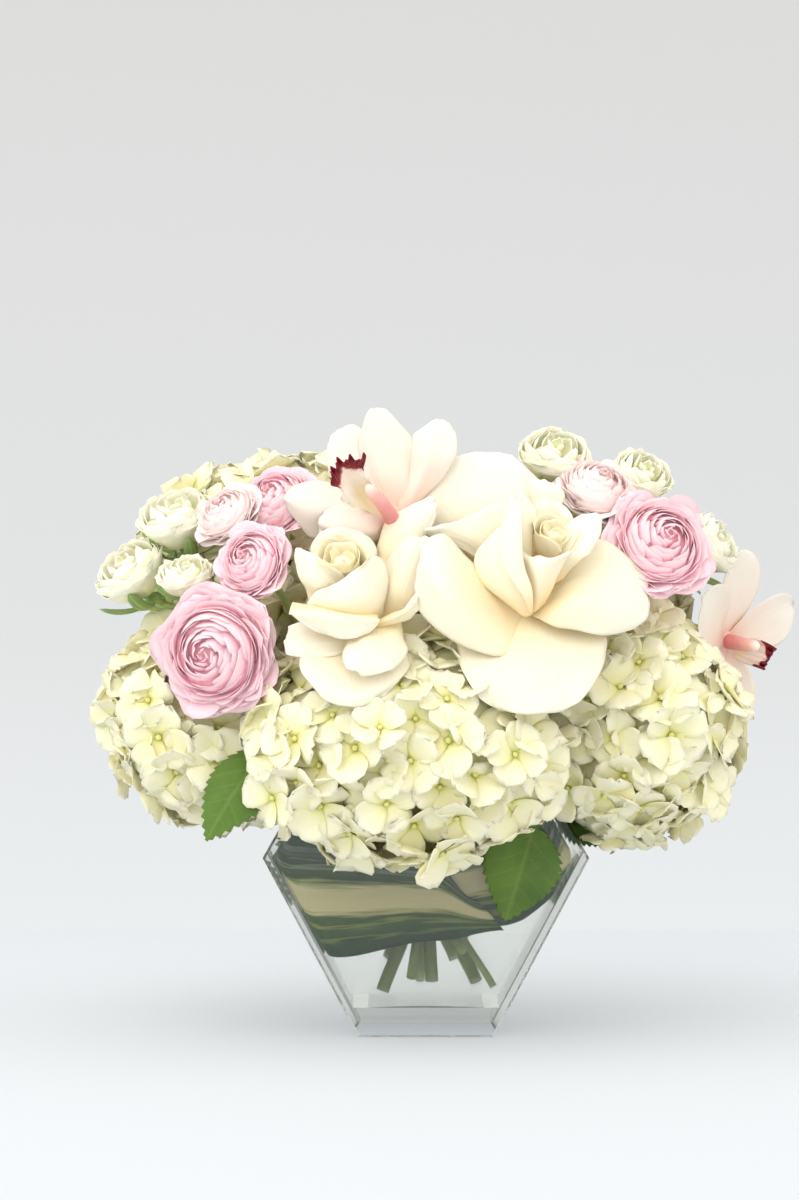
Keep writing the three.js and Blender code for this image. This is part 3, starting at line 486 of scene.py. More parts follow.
def laid_petal(shape, rows, *, roll=1.6, wave=0.85, waves=5.0, phase=0.0, tip=0.62, nu=28, nv=32, tint=0.5):
    """A petal through its laid points, with a rounded tip and an edge that rolls back and waves."""
    places = np.array([[seen(point) for point in row] for row in rows])
    middle = places[-1].mean(axis=0)
    places[-1] = middle + (places[-1] - middle) * TIP_SPREAD
    fine_v, fine_u = 4 * nv, 4 * nu
    dense = smooth_way(places, fine_v)
    dense = smooth_way(dense.swapaxes(0, 1), fine_u).swapaxes(0, 1)
    t = np.linspace(0, 1, nv + 1)[:, None]
    u = np.linspace(-1, 1, nu + 1)[None, :]
    column = (0.5 + 0.5 * u * np.sqrt(1 - (1 - tip ** 2) * held(t, 0.6, 1) ** 2)) * fine_u
    row = np.broadcast_to(t * fine_v, column.shape)
    i, j = np.minimum(row.astype(int), fine_v - 1), np.minimum(column.astype(int), fine_u - 1)
    f, g = (row - i)[..., None], (column - j)[..., None]
    grid = ((dense[i, j] * (1 - g) + dense[i, j + 1] * g) * (1 - f)
            + (dense[i + 1, j] * (1 - g) + dense[i + 1, j + 1] * g) * f)
    normal = normals(grid)
    normal *= np.where(normal[..., 1:2] > 0, 1, -1)
    begun = np.clip(3 * t, 0, 1)
    edge = np.maximum(np.abs(u) ** 6 * begun, held(t, 0.8, 1) ** 2)
    ripple = np.sin(waves * (u + 1.3 * t) + phase) + 0.6 * np.sin(2.1 * waves * (t - u) + 2 * phase)
    swell = np.sin(3.1 * u + 5.2 * t + phase) * np.sin(4.3 * t - 2.2 * u + 2 * phase)
    push = roll * edge + wave * edge * ripple + SWELL * swell * begun
    blade(shape, grid + normal * push[..., None], LAID_THICKNESS, (u + 1) / 2, t, tint)


def rod(shape, path, radii, sides, tint=0.5):
    """A closed round rod along a list of points."""
    path = np.asarray(path, float)
    radii = np.broadcast_to(radii, len(path))
    ways = np.gradient(path, axis=0)
    ways /= np.linalg.norm(ways, axis=1, keepdims=True)
    first = np.cross(ways[0], UP if abs(ways[0][2]) < 0.9 else np.array([1.0, 0, 0]))
    rings = []
    side = unit(first)
    for point, way, radius in zip(path, ways, radii):
        side = unit(side - way * side.dot(way))
        other = np.cross(way, side)
        angles = np.arange(sides) * 2 * np.pi / sides
        rings.append(point + radius * (np.cos(angles)[:, None] * side + np.sin(angles)[:, None] * other))
    points = np.concatenate(rings + [path[:1], path[-1:]])
    count = len(path)
    i = np.arange(count * sides).reshape(count, sides)
    j = np.roll(i, -1, axis=1)
    quads = np.stack([i[:-1], j[:-1], j[1:], i[1:]], axis=-1).reshape(-1, 4)
    foot, end = count * sides, count * sides + 1
    caps = np.concatenate([
        np.stack([j[0], i[0], np.full(sides, foot)], axis=-1),
        np.stack([i[-1], j[-1], np.full(sides, end)], axis=-1),
    ])
    along = np.concatenate([np.repeat(np.linspace(0, 1, count), sides), [0, 1]])
    shares = np.column_stack([np.full(len(points), 0.5), along, np.full(len(points), tint)])
    shape.add(points, [quads, caps], shares)


def ball(shape, at, radii, rings, sides, share=(0.5, 0.0, 0.5), bumps=None):
    """A closed ball, which bumps(ways) may push in or out by a share."""
    a = np.linspace(0, np.pi, rings + 1)[1:-1]
    b = np.arange(sides) * 2 * np.pi / sides
    ring = np.stack([np.outer(np.sin(a), np.cos(b)), np.outer(np.sin(a), np.sin(b)),
                     np.repeat(np.cos(a)[:, None], sides, 1)], axis=-1).reshape(-1, 3)
    ways = np.concatenate([ring, [[0, 0, 1], [0, 0, -1]]])
    grow = np.ones((len(ways), 1)) if bumps is None else np.asarray(bumps(ways))[:, None]
    points = np.asarray(at, float) + ways * np.asarray(radii, float) * grow
    i = np.arange((rings - 1) * sides).reshape(rings - 1, sides)
    j = np.roll(i, -1, axis=1)
    quads = np.stack([i[:-1], i[1:], j[1:], j[:-1]], axis=-1).reshape(-1, 4)
    top, bottom = len(ring), len(ring) + 1
    caps = np.concatenate([
        np.stack([np.full(sides, top), i[0], j[0]], axis=-1),
        np.stack([np.full(sides, bottom), j[-1], i[-1]], axis=-1),
    ])
    shape.add(points, [quads, caps], np.tile(share, (len(points), 1)))


# Materials
def set_inputs(node, values):
    """Sets a node's inputs by their names."""
    for name, value in values.items():
        node.inputs[name].default_value = value


class Nodes:
    """A new material's nodes, made and joined with few words."""

    def __init__(self, name):
        self.material = bpy.data.materials.new(name)
        self.material.use_nodes = True
        self.tree = self.material.node_tree
        self.shader = self.tree.nodes["Principled BSDF"]
        self.out = self.tree.nodes["Material Output"]

    def new(self, kind, **settings):
        node = self.tree.nodes.new(kind)
        for key, value in settings.items():
            setattr(node, key, value)
        return node

    def link(self, source, target):
        self.tree.links.new(source, target)

    def math(self, operation, a, b=0.0, clamp=False):
        node = self.new("ShaderNodeMath", operation=operation, use_clamp=clamp)
        for socket, value in zip(node.inputs, (a, b)):
            if isinstance(value, (int, float)):
                socket.default_value = value
            else:
                self.link(value, socket)
        return node.outputs[0]

    def times(self, a, b, clamp=False):
        return self.math("MULTIPLY", a, b, clamp)

    def shares(self):
        """The across, along and tint shares of the mesh."""
        layer = self.new("ShaderNodeAttribute", attribute_name="shares")
        parts = self.new("ShaderNodeSeparateColor")
        self.link(layer.outputs["Color"], parts.inputs[0])
        return parts.outputs[0], parts.outputs[1], parts.outputs[2]

    def ramp(self, value, stops):
        node = self.new("ShaderNodeValToRGB")
        elements = node.color_ramp.elements
        while len(elements) > len(stops):
            elements.remove(elements[-1])
        while len(elements) < len(stops):
            elements.new(1.0)
        for element, (place, colour) in zip(elements, stops):
            element.position = place
            element.color = (*colour, 1)
        self.link(value, node.inputs[0])
        return node.outputs[0]

    def mix(self, share, a, b, blend="MIX"):
        node = self.new("ShaderNodeMix", data_type="RGBA", blend_type=blend)
        for socket, value in ((node.inputs[0], share), (node.inputs[6], a), (node.inputs[7], b)):
            if isinstance(value, (int, float)):
                socket.default_value = value
            elif isinstance(value, tuple):
                socket.default_value = (*value, 1)
            else:
                self.link(value, socket)
        return node.outputs[2]

    def noise(self, scale, detail=3.0, stretch=(1, 1, 1), source=None):
        mapping = self.new("ShaderNodeMapping")
        set_inputs(mapping, {"Scale": stretch})
        self.link(source or self.new("ShaderNodeTexCoord").outputs["Object"], mapping.inputs[0])
        node = self.new("ShaderNodeTexNoise")
        set_inputs(node, {"Scale": scale, "Detail": detail})
        self.link(mapping.outputs[0], node.inputs["Vector"])
        return node.outputs[0]

    def paint(self, colour):
        self.link(colour, self.shader.inputs["Base Color"])

    def bump(self, height, distance, strength):
        node = self.new("ShaderNodeBump")
        set_inputs(node, {"Distance": distance, "Strength": strength})
        self.link(height, node.inputs["Height"])
        self.link(node.outputs[0], self.shader.inputs["Normal"])

    def surface(self, roughness, specular, subsurface=0.0, radius=(0.01, 0.01, 0.01)):
        set_inputs(self.shader, {
            "Roughness": roughness, "Specular IOR Level": specular, "Subsurface Weight": subsurface,
            "Subsurface Radius": radius, "Subsurface Scale": 1.0,
        })


def petal_material(name, stops, *, vein, relief, roughness=0.6, subsurface=0.08, tinted=None):
    """A petal: coloured from its foot to its tip, with fine veins fanning along it. The mesh's tint
    share mixes in the tinted colour."""
    m = Nodes(name)
    across, along, tint = m.shares()
    colour = m.ramp(along, stops)
    if tinted:
        colour = m.mix(tint, colour, tinted)
    fan = m.new("ShaderNodeCombineXYZ")
    m.link(m.times(across, 34.0), fan.inputs[0])
    m.link(m.times(along, 2.5), fan.inputs[1])
    m.link(m.times(tint, 20.0), fan.inputs[2])
    rays = m.noise(1.0, source=fan.outputs[0])
    cloud = m.noise(90.0, 4.0)
    mark = m.times(m.times(rays, cloud), 4 * vein)
    m.paint(m.mix(mark, colour, (0.80, 0.72, 0.46), "MULTIPLY"))
    m.bump(m.math("ADD", rays, m.times(cloud, 0.6)), 0.0005, relief)
    m.surface(roughness, 0.3, subsurface, (0.0040, 0.0036, 0.0034))
    return m.material


HYDRANGEA = petal_material("hydrangea petal", [
    (0.0, (0.70, 0.71, 0.20)), (0.13, (0.89, 0.86, 0.42)), (0.4, (0.93, 0.90, 0.60)),
    (1.0, (0.95, 0.92, 0.73)),
], vein=0.08, relief=0.35)
ROSE = petal_material("rose petal", [
    (0.0, (0.93, 0.68, 0.34)), (0.25, (0.94, 0.83, 0.58)), (0.65, (0.93, 0.87, 0.72)),
    (1.0, (0.93, 0.90, 0.81)),
], vein=0.07, relief=0.6, roughness=0.55, tinted=(0.98, 0.90, 0.64))
SPRAY_ROSE = petal_material("spray rose petal", [
    (0.0, (0.66, 0.74, 0.22)), (0.4, (0.94, 0.93, 0.64)), (1.0, (0.98, 0.97, 0.84)),
], vein=0.05, relief=0.2)
PINK = petal_material("pink petal", [
    (0.0, (0.97, 0.66, 0.68)), (0.35, (0.96, 0.51, 0.60)), (0.85, (0.98, 0.59, 0.67)),
    (1.0, (0.98, 0.77, 0.82)),
], vein=0.04, relief=0.2, subsurface=0.0, tinted=(0.98, 0.72, 0.78))
PALE = petal_material("pale petal", [
    (0.0, (0.97, 0.72, 0.66)), (0.5, (0.98, 0.70, 0.70)), (1.0, (0.98, 0.82, 0.82)),
], vein=0.04, relief=0.2, subsurface=0.0, tinted=(0.98, 0.87, 0.86))
ORCHID = petal_material("orchid petal", [
    (0.0, (0.94, 0.62, 0.52)), (0.3, (0.93, 0.78, 0.70)), (1.0, (0.88, 0.84, 0.78)),
], vein=0.16, relief=0.35, roughness=0.45)


def sepal_material():
    """A spray rose's sepal: green, with a paler rib."""
    m = Nodes("green sepal")
    across, _, _ = m.shares()
    middle = m.math("ABSOLUTE", m.math("SUBTRACT", across, 0.5))
    rib = m.math("SMOOTH_MIN", m.times(middle, 10.0), 1.0)
    share = m.times(rib, m.noise(140.0), True)
    m.paint(m.mix(share, (0.34, 0.46, 0.16), (0.10, 0.20, 0.05)))
    m.bump(m.noise(600.0), 0.0003, 0.4)
    m.surface(0.45, 0.4, 0.15, (0.003, 0.004, 0.001))
    return m.material


def leaf_material():
    """A serrated leaf: green, with paler veins where the tint share says they run."""
    m = Nodes("hydrangea leaf")
    _, _, vein = m.shares()
    cloud = m.noise(55.0, 5.0)
    green = m.ramp(cloud, [(0.3, (0.070, 0.150, 0.016)), (0.7, (0.13, 0.24, 0.030))])
    m.paint(m.mix(m.times(vein, 0.35), green, (0.30, 0.42, 0.11)))
    cells = m.new("ShaderNodeTexVoronoi")
    set_inputs(cells, {"Scale": 500.0})
    m.bump(m.math("SUBTRACT", cells.outputs["Distance"], m.times(vein, 1.5)), 0.0005, 0.5)
    m.surface(0.42, 0.45, 0.15, (0.003, 0.005, 0.001))
    return m.material


def liner_material():
    """The liner leaf: cream middle, green margins, and long streaks between them."""
    m = Nodes("liner leaf")
    across, along, _ = m.shares()
    combined = m.new("ShaderNodeCombineXYZ")
    m.link(m.times(along, 1.3), combined.inputs[0])
    m.link(m.times(across, 26.0), combined.inputs[1])
    streak = m.noise(1.0, 5.0, source=combined.outputs[0])
    shifted = m.math("ADD", across, m.times(m.math("SUBTRACT", streak, 0.5), 0.20))
    m.paint(m.ramp(shifted, [
        (0.0, (0.012, 0.055, 0.010)), (0.10, (0.020, 0.075, 0.014)), (0.13, (0.20, 0.28, 0.05)),
        (0.15, (0.022, 0.085, 0.012)), (0.22, (0.05, 0.13, 0.02)), (0.25, (0.30, 0.36, 0.06)),
        (0.275, (0.04, 0.11, 0.016)), (0.32, (0.07, 0.16, 0.02)), (0.35, (0.66, 0.60, 0.24)),
        (0.39, (0.95, 0.85, 0.46)), (0.58, (0.95, 0.86, 0.50)), (0.62, (0.42, 0.46, 0.14)),
        (0.66, (0.040, 0.100, 0.020)), (0.74, (0.08, 0.15, 0.04)), (0.77, (0.34, 0.40, 0.24)),
        (0.80, (0.030, 0.080, 0.024)), (0.87, (0.10, 0.15, 0.09)), (0.90, (0.26, 0.30, 0.24)),
        (0.93, (0.020, 0.070, 0.020)), (1.0, (0.014, 0.050, 0.014)),
    ]))
    m.bump(streak, 0.0006, 0.5)
    m.surface(0.6, 0.0)
    return m.material


def stem_material():
    """Stems: olive where the tint share is low, light green where it is high."""
    m = Nodes("stem")
    _, _, tint = m.shares()
    cloud = m.noise(60.0, 4.0, (1, 1, 0.25))
    thick = m.ramp(cloud, [(0.3, (0.17, 0.22, 0.08)), (0.7, (0.32, 0.38, 0.15))])
    thin = m.ramp(cloud, [(0.3, (0.30, 0.42, 0.14)), (0.7, (0.45, 0.56, 0.24))])
    m.paint(m.mix(tint, thick, thin))
    m.bump(m.noise(250.0, 3.0, (1, 1, 0.1)), 0.0004, 0.5)
    m.surface(0.6, 0.05)
    return m.material


def clear_material(name, ior, colour, shine, streaks=0.0, straight=0.0, density=0.0):
    """Clear glass or water, which lets lamp light straight through. shine: how much it mirrors,
    streaks: how uneven its surface is, straight: the share of light that passes unbent, density: how
    much its depth tints."""
    m = Nodes(name)
    set_inputs(m.shader, {
        "Base Color": (*colour, 1), "Transmission Weight": 1.0, "IOR": ior, "Roughness": 0.0,
        "Specular IOR Level": shine,
    })
    if streaks:
        m.bump(m.noise(22.0, 2.0), 0.0006, streaks)
    ray = m.new("ShaderNodeLightPath")
    clear = m.new("ShaderNodeBsdfTransparent")
    set_inputs(clear, {"Color": (0.96, 0.975, 0.97, 1)})
    mix = m.new("ShaderNodeMixShader")
    m.link(m.math("MAXIMUM", ray.outputs["Is Shadow Ray"], straight), mix.inputs[0])
    m.link(m.shader.outputs[0], mix.inputs[1])
    m.link(clear.outputs[0], mix.inputs[2])
    m.link(mix.outputs[0], m.out.inputs[0])
    if density:
        depth = m.new("ShaderNodeVolumeAbsorption")
        set_inputs(depth, {"Color": (0.62, 0.64, 0.58, 1), "Density": density})
        m.link(depth.outputs[0], m.out.inputs["Volume"])
    return m.material


def lip_material(name, margin):
    """An orchid's lip: yellow throat, cream sides and a frilled burgundy margin from this share on."""
    m = Nodes(name)
    across, along, _ = m.shares()
    edge = m.times(m.math("ABSOLUTE", m.math("SUBTRACT", across, 0.5)), 0.35)
    cloud = m.noise(260.0, 3.0)
    frill = m.times(m.math("SUBTRACT", cloud, 0.5), 0.12)
    m.paint(m.ramp(m.math("ADD", m.math("ADD", along, edge), frill), [
        (0.0, (0.92, 0.80, 0.62)), (0.35, (0.94, 0.84, 0.56)), (0.6, (0.95, 0.90, 0.80)),
        (margin - 0.035, (0.92, 0.76, 0.68)), (margin, (0.24, 0.004, 0.022)), (1.0, (0.14, 0.002, 0.012)),
    ]))
    m.bump(cloud, 0.0004, 0.4)
    m.surface(0.4, 0.4, 0.15, (0.004, 0.002, 0.001))
    return m.material


def column_material():
    """An orchid's column: deep pink at its foot, cream at its tip, speckled."""
    m = Nodes("orchid column")
    _, along, _ = m.shares()
    speck = m.noise(500.0, 3.0, (1, 1, 0.2))
    colour = m.ramp(along, [
        (0.0, (0.64, 0.10, 0.14)), (0.45, (0.76, 0.24, 0.26)), (0.8, (0.86, 0.46, 0.42)),
        (0.93, (0.92, 0.72, 0.64)), (1.0, (0.95, 0.88, 0.78)),
    ])
    m.paint(m.mix(m.times(speck, 0.4), colour, (0.90, 0.60, 0.52)))
    m.bump(speck, 0.0002, 0.2)
    m.surface(0.35, 0.5, 0.2, (0.004, 0.002, 0.001))
    return m.material


GREEN_SEPAL = sepal_material()
LEAF = leaf_material()
LINER = liner_material()
STEM = stem_material()
LIP_LOOK = lip_material("orchid lip", 0.905)
PALE_LIP_LOOK = lip_material("pale orchid lip", 0.965)
COLUMN = column_material()
GLASS = clear_material("clear glass", 1.48, (0.94, 0.945, 0.935), shine=0.12, streaks=0.04,
                       straight=0.15, density=8.0)
WATER = clear_material("water", 1.333, (0.945, 0.950, 0.925), shine=0.0)


# Blooms
def arc_length(reach, lean):
    """How long a petal is whose arc, between its leans at foot and tip, reaches this far out."""
    start, end = math.radians(lean[0]), math.radians(lean[1])
    return reach * (start - end) / (math.cos(end) - math.cos(start))


def arc_height(length, lean):
    """How high such a petal climbs."""
    start, end = math.radians(lean[0]), math.radians(lean[1])
    return length * (math.sin(start) - math.sin(end)) / (start - end)


def place_piece(part, basis, at, name, material, slot, node):
    """Turns and moves a part drawn in its bloom's own frame, and makes it a piece."""
    shape = Shape()
    shape.placed(part, basis, at)
    return shape.finish(name, material, slot, node)


# Ranunculus: petals in each ring, from the outside in, and the share of the radius of the ball that
# closes the gaps behind the inner rings
RING_COUNTS = [5] + 4 * [6] + 5 * [5] + 5 * [4]
OUTER_RINGS = 3
FRONT_Y = 30
FRONT_STEPS = 10
BACK_STEPS = 7
FILLING = np.array([0.72, 0.72, 0.36])


def ranunculus(index, name, at, face, radius, pale):
    """Many thin petals, ring inside ring, finer at the front than at the back."""
    random = np.random.default_rng(SEEDS["ranunculus"] + index)
    bloom = Shape()
    steps = FRONT_STEPS if at[1] < FRONT_Y else BACK_STEPS
    for k, count in enumerate(RING_COUNTS):
        inner = k / (len(RING_COUNTS) - 1)
        share = 1.03 * (1 - inner) + 0.07 * inner
        top = 0.56 * (1 - (1 - inner) ** 2.2) - 0.08 * (1 - inner)
        tip_lean = 62 - 200 * inner if inner < 0.45 else -28 - 52 * (inner - 0.45)
        curl = 16 * max(0, 1 - 4 * inner)
        outer = k < OUTER_RINGS
        for i in range(count):
            turn = 360 * (i + 0.37 * k) / count + random.uniform(-9, 9)
            lean = (84, tip_lean + random.uniform(-7, 7))
            width = share * radius * random.uniform(0.95, 1.05)
            length = arc_length(width - 1.5, lean)
            rise = (top + random.uniform(-0.03, 0.03)) * radius - arc_height(length, lean)
            half = width * math.pi / count * random.uniform(1.25, 1.6)
            petal(bloom, turn, length, half, lean, max(width, 4) * 1.03, tip=0.6, foot=1.5, rise=rise,
                  skew=0.9, curl=curl + random.uniform(-6, 10), wave=(0.030 if outer else 0.010) * radius,
                  waves=2.0 if outer else 1.0, phase=random.uniform(*PHASES),
                  notch=random.uniform(0, 0.10 if outer else 0.03), thick=0.45,
                  nu=steps, nv=steps if outer else steps - 3,
                  tint=min(1, max(0, 0.15 + 0.7 * share * share + random.uniform(-0.25, 0.25))))
    ball(bloom, (0, 0, 0), FILLING * radius, 8, 18, (0.5, 0.7, 0.4))
    look, slot = (PALE, "ranunculus_pale") if pale else (PINK, "ranunculus_pink")
    place_piece(bloom, frame_at(face), at, f"{name}_petals", look, slot, name)


for position, (bloom_name, facts) in enumerate(RANUNCULUS.items()):
    ranunculus(position, bloom_name, *facts)


# A spray rose's rings of petals from the outside in: share of the radius, count, height of the tips,
# leans and curl
SPRAY_RINGS = [
    (1.0, 5, 0.30, (88, 18), 10), (0.93, 5, 0.50, (88, -8), 6), (0.76, 4, 0.66, (86, -24), 0),
    (0.56, 4, 0.72, (84, -34), 0), (0.36, 3, 0.72, (80, -36), 0), (0.20, 3, 0.70, (70, -30), 0),
]
SEPALS = 5


def spray_rose(index, name, at, face, radius):
    """A tight bud in six rings of petals, over five green sepals."""
    random = np.random.default_rng(SEEDS["spray_rose"] + index)
    bloom, green = Shape(), Shape()
    for k, (share, count, top, lean, curl) in enumerate(SPRAY_RINGS):
        width = share * radius
        length = max(4.0, arc_length(width - 1.2, lean))
        rise = top * radius - arc_height(length, lean)
        for i in range(count):
            turn = 360 * (i + 0.5 * k) / count + random.uniform(-8, 8)
            petal(bloom, turn, length, width * 1.05, lean, max(width, 3), tip=0.4, foot=1.2, rise=rise,
                  skew=0.9, curl=curl + random.uniform(-8, 14), wave=0.03 * radius, waves=1.4,
                  phase=random.uniform(*PHASES), thick=0.5, nu=9, nv=8)
    for i in range(SEPALS):
        lean = (95, 20 + random.uniform(-50, 60))
        petal(green, 360 / SEPALS * i + 20, radius * 1.5, radius * 0.2, lean, 8, tip=0.05, foot=1.5,
              rise=-0.85 * radius, skew=0.2, thick=0.7, nu=4, nv=10)
    ball(green, (0, 0, -0.92 * radius), (0.3 * radius, 0.3 * radius, 0.24 * radius), 6, 10)
    place_piece(bloom, frame_at(face), at, f"{name}_petals", SPRAY_ROSE, "spray_rose", name)
    place_piece(green, frame_at(face), at, f"{name}_sepals", GREEN_SEPAL, "leaf", name)


for position, (bloom_name, facts) in enumerate(SPRAY_ROSES.items()):
    spray_rose(position, bloom_name, *facts)


# Roses: open petals round a bud. A ball's radii, rings, sides and colour shares stand for what the
# petals grow from.
RECEPTACLE = ((9, 9, 8), 8, 14, (0.5, 0.1, 0.5))
GOLDEN_ANGLE = 137.5
OUTER_BUD_PETALS = 4


def rose_bud(shape, random, radius, count, *, narrowing, long, leans, cup, curls, **settings):
    """A bud whose petals wrap over each other in a spiral, each narrower than the one outside it.
    Its petals' length swings about a share of the radius (long: share and swing), their leans drop
    towards the last one (leans: first and drop, at foot and tip), their cup radius follows the width
    (cup: least, share), and they curl more outside (curls: outer, inner, most added by chance)."""
    for k in range(count):
        width = radius * (1 - narrowing * (k / (count - 1)) ** 0.85)
        length = radius * (long[0] + long[1] * math.sin(2.2 * k))
        lean = [first - drop * k / count for first, drop in leans]
        curl = curls[0] if k < OUTER_BUD_PETALS else curls[1]
        petal(shape, GOLDEN_ANGLE * k + 40, length, width * 1.7, lean, max(cup[0], width * cup[1]), tip=0.5,
              foot=0.5 * width, curl=curl + random.uniform(-4, curls[2]), waves=0.9,
              phase=random.uniform(*PHASES), notch=0.03, **settings)


def laid_rose(index, name):
    """A rose whose open petals are laid as the photo shows them, round a small bud."""
    random = np.random.default_rng(SEEDS["laid_rose"] + index)
    shape, bud = Shape(), Shape()
    receptacle, face = ROSES[name]
    for k, rows in enumerate(LAID_ROSES[name]):
        laid_petal(shape, rows, phase=1.7 * k, tint=0.03 * k)
    centre, radius = BUD_CENTRES[name]
    rose_bud(bud, random, radius, 8, narrowing=0.86, long=(1.5, 0.1), leans=((30, 8), (-4, 0)),
             cup=(1.8, 1.0), curls=(30, 10, 8), rise=-0.7 * radius, skew=1.2, wave=0.4, thick=0.5,
             nu=20, nv=16, tint=0.9)
    ball(bud, (0, 0, 0), (0.6 * radius, 0.6 * radius, 0.55 * radius), 8, 14, (0.5, 0.9, 0.6))
    shape.placed(bud, frame_at(face), seen(centre))
    ball(shape, receptacle, *RECEPTACLE)
    return shape.finish(f"{name}_petals", ROSE, "rose", name)


def back_rose(name):
    """The rose behind, which the photo doesn't show."""
    random = np.random.default_rng(SEEDS[name])
    bloom = Shape()
    at, face = ROSES[name]
    for turn, length, half, lean, cup in BACK_ROSE_PETALS:
        petal(bloom, turn, length, half, lean, cup, tip=0.45, foot=5, curl=random.uniform(2, 20), wave=1.5,
              waves=0.9, phase=random.uniform(*PHASES), notch=0.05, thick=0.8, nu=20, nv=20, tint=0.2)
    rose_bud(bloom, random, BACK_BUD_RADIUS, 9, narrowing=0.88, long=(1.7596, 0.106),
             leans=((34, 10), (-3, 14)), cup=(2.2, 0.98), curls=(26, 8, 6), rise=-2, skew=1.6, wave=0.5,
             thick=0.6, nu=18, nv=14, tint=0.8)
    ball(bloom, (0, 0, 0), *RECEPTACLE)
    place_piece(bloom, frame_at(face), at, f"{name}_petals", ROSE, "rose", name)


LAID = [laid_rose(position, bloom_name) for position, bloom_name in enumerate(LAID_ROSES)]
back_rose("rose_back")


# Orchids, with a ball that their petals grow from, as in the roses
ORCHID_HEART = ((7, 7, 5.5), 8, 14, (0.5, 0.05, 0.5))
COLUMN_SIDES = 16
COLUMN_LENGTH = 27


def column_radii(share, foot, tip):
    """A column's radius along it, rounded off at its end."""
    return (foot + (tip - foot) * share) * (1 - 0.6 * held(share, 0.9, 1.0))


def laid_orchid(name):
    """The orchid at the top, with its petals, lip and column laid as the photo shows them."""
    bloom, lip, column = Shape(), Shape(), Shape()
    for k, rows in enumerate(LAID_TEPALS):
        laid_petal(bloom, rows, phase=1.3 * k, tip=0.5, wave=0.6, roll=1.0)
    ball(bloom, ORCHIDS[name][0], *ORCHID_HEART)
    laid_petal(lip, LAID_LIP, roll=0.5, wave=1.9, waves=12.0, tip=0.78, nu=52, nv=40)
    path = smooth_way([seen(point) for point in LAID_COLUMN], 14)
    rod(column, path, column_radii(np.linspace(0, 1, 15), 3.9, 2.925), COLUMN_SIDES)
    petals = bloom.finish(f"{name}_petals", ORCHID, "orchid", name)
    lip.finish(f"{name}_lip", LIP_LOOK, "orchid", name)
    column.finish(f"{name}_column_rod", COLUMN, "column", f"{name}_column")
    return petals


def ruled_orchid(name, turn, scale):
    """The orchid at the right, too blurred in the photo to lay its petals one by one."""
    random = np.random.default_rng(SEEDS[name])
    bloom, lip, column = Shape(), Shape(), Shape()
    at, face = ORCHIDS[name]
    for tepal_turn, length, half, lean, cup in TEPALS:
        petal(bloom, tepal_turn + turn, length, half, lean, cup, tip=0.16, foot=1.5,
              curl=random.uniform(-6, 14), wave=0.8, waves=1.0, phase=random.uniform(*PHASES), thick=0.8,
              nu=18, nv=22)
    ball(bloom, (0, 0, -1.5), *ORCHID_HEART)
    petal(lip, 180 + turn, 27, 9, (46, -20), 9, tip=0.85, foot=5, rise=-1, curl=75, wave=1.5, waves=4.5,
          phase=1.0, thick=0.6, nu=36, nv=28)
    share = np.linspace(0, 1, 14)
    path = np.column_stack([0.1 * share ** 2 * COLUMN_LENGTH, 0 * share, 1.5 + COLUMN_LENGTH * share])
    rod(column, path, column_radii(share, 4.48, 3.28), COLUMN_SIDES)
    flat = frame_at(face) * scale
    turned = frame_at(face, math.radians(turn)) * scale
    petals = place_piece(bloom, flat, at, f"{name}_petals", ORCHID, "orchid", name)
    place_piece(lip, flat, at, f"{name}_lip", PALE_LIP_LOOK, "orchid", name)
    place_piece(column, turned, at, f"{name}_column_rod", COLUMN, "column", f"{name}_column")
    return petals


LAID.append(laid_orchid("orchid_top"))
LAID.append(ruled_orchid("orchid_right", RIGHT_ORCHID_TURN, RIGHT_ORCHID_SCALE))


# Hydrangea
def tree_of(objects):
    """A search tree over these objects' faces."""
    points, faces, count = [], [], 0
    for obj in objects:
        mesh = obj.data
        points.extend(v.co.copy() for v in mesh.vertices)
        faces.extend(tuple(i + count for i in p.vertices) for p in mesh.polygons)
        count = len(points)
    return BVHTree.FromPolygons(points, faces)


SOLIDS = ["rose_back", *RANUNCULUS, *SPRAY_ROSES, *LEAVES, "glass_vase"]
BLOOMS = tree_of([frame["nodes"][name] for name in SOLIDS] + LAID)

# A floret's petals and stalk, the room that a floret and a core keep, and the shares of the way out
# at which they are tried
FLORET_LENGTH = 15.4
FLORET_HALF = 9.6
FLORET_STALK = 6
SEAT_ROOM = 5.0
CORE_ROOM = 1.5
SPREAD_WAYS = 8
SEAT_SHARES = (1.0, 0.94, 0.88, 0.82, 0.76, 0.68, 0.6)
CORE_SHARES = (1.0, 0.9, 0.8, 0.65, 0.5, 0.35)
LEAST_CORE = 0.3

# The head with the largest florets, and those whose front florets are the finest
LARGE_FLORET_HEAD = "hydrangea_upper_left"
LARGE_FLORET = 1.3
NEAR_HEADS = ("hydrangea_front", "hydrangea_right", "hydrangea_left")
FRONT_FACING = 0.35


def clear_of_blooms(point, middle, room):
    """Whether a place keeps its distance from the blooms and has none between it and its head."""
    at, centre = Vector(point) * MM, Vector(middle) * MM
    place, normal, _, distance = BLOOMS.find_nearest(at)
    if distance < room * MM or (at - place).dot(normal) < 0:
        return False
    way = centre - at
    hit = BLOOMS.ray_cast(at, way.normalized(), way.length * 0.4)
    return hit[0] is None


def spread_free(seat, basis, reach):
    """Whether a floret can spread its petals at a place without meeting a bloom."""
    start = Vector(seat + basis[:, 2] * 1.5) * MM
    for k in range(SPREAD_WAYS):
        angle = 2 * math.pi * k / SPREAD_WAYS
        side = basis[:, 0] * math.cos(angle) + basis[:, 1] * math.sin(angle)
        way = Vector(side * reach + basis[:, 2] * 2.5).normalized()
        if BLOOMS.ray_cast(start, way, reach * MM)[0] is not None:
            return False
    return True


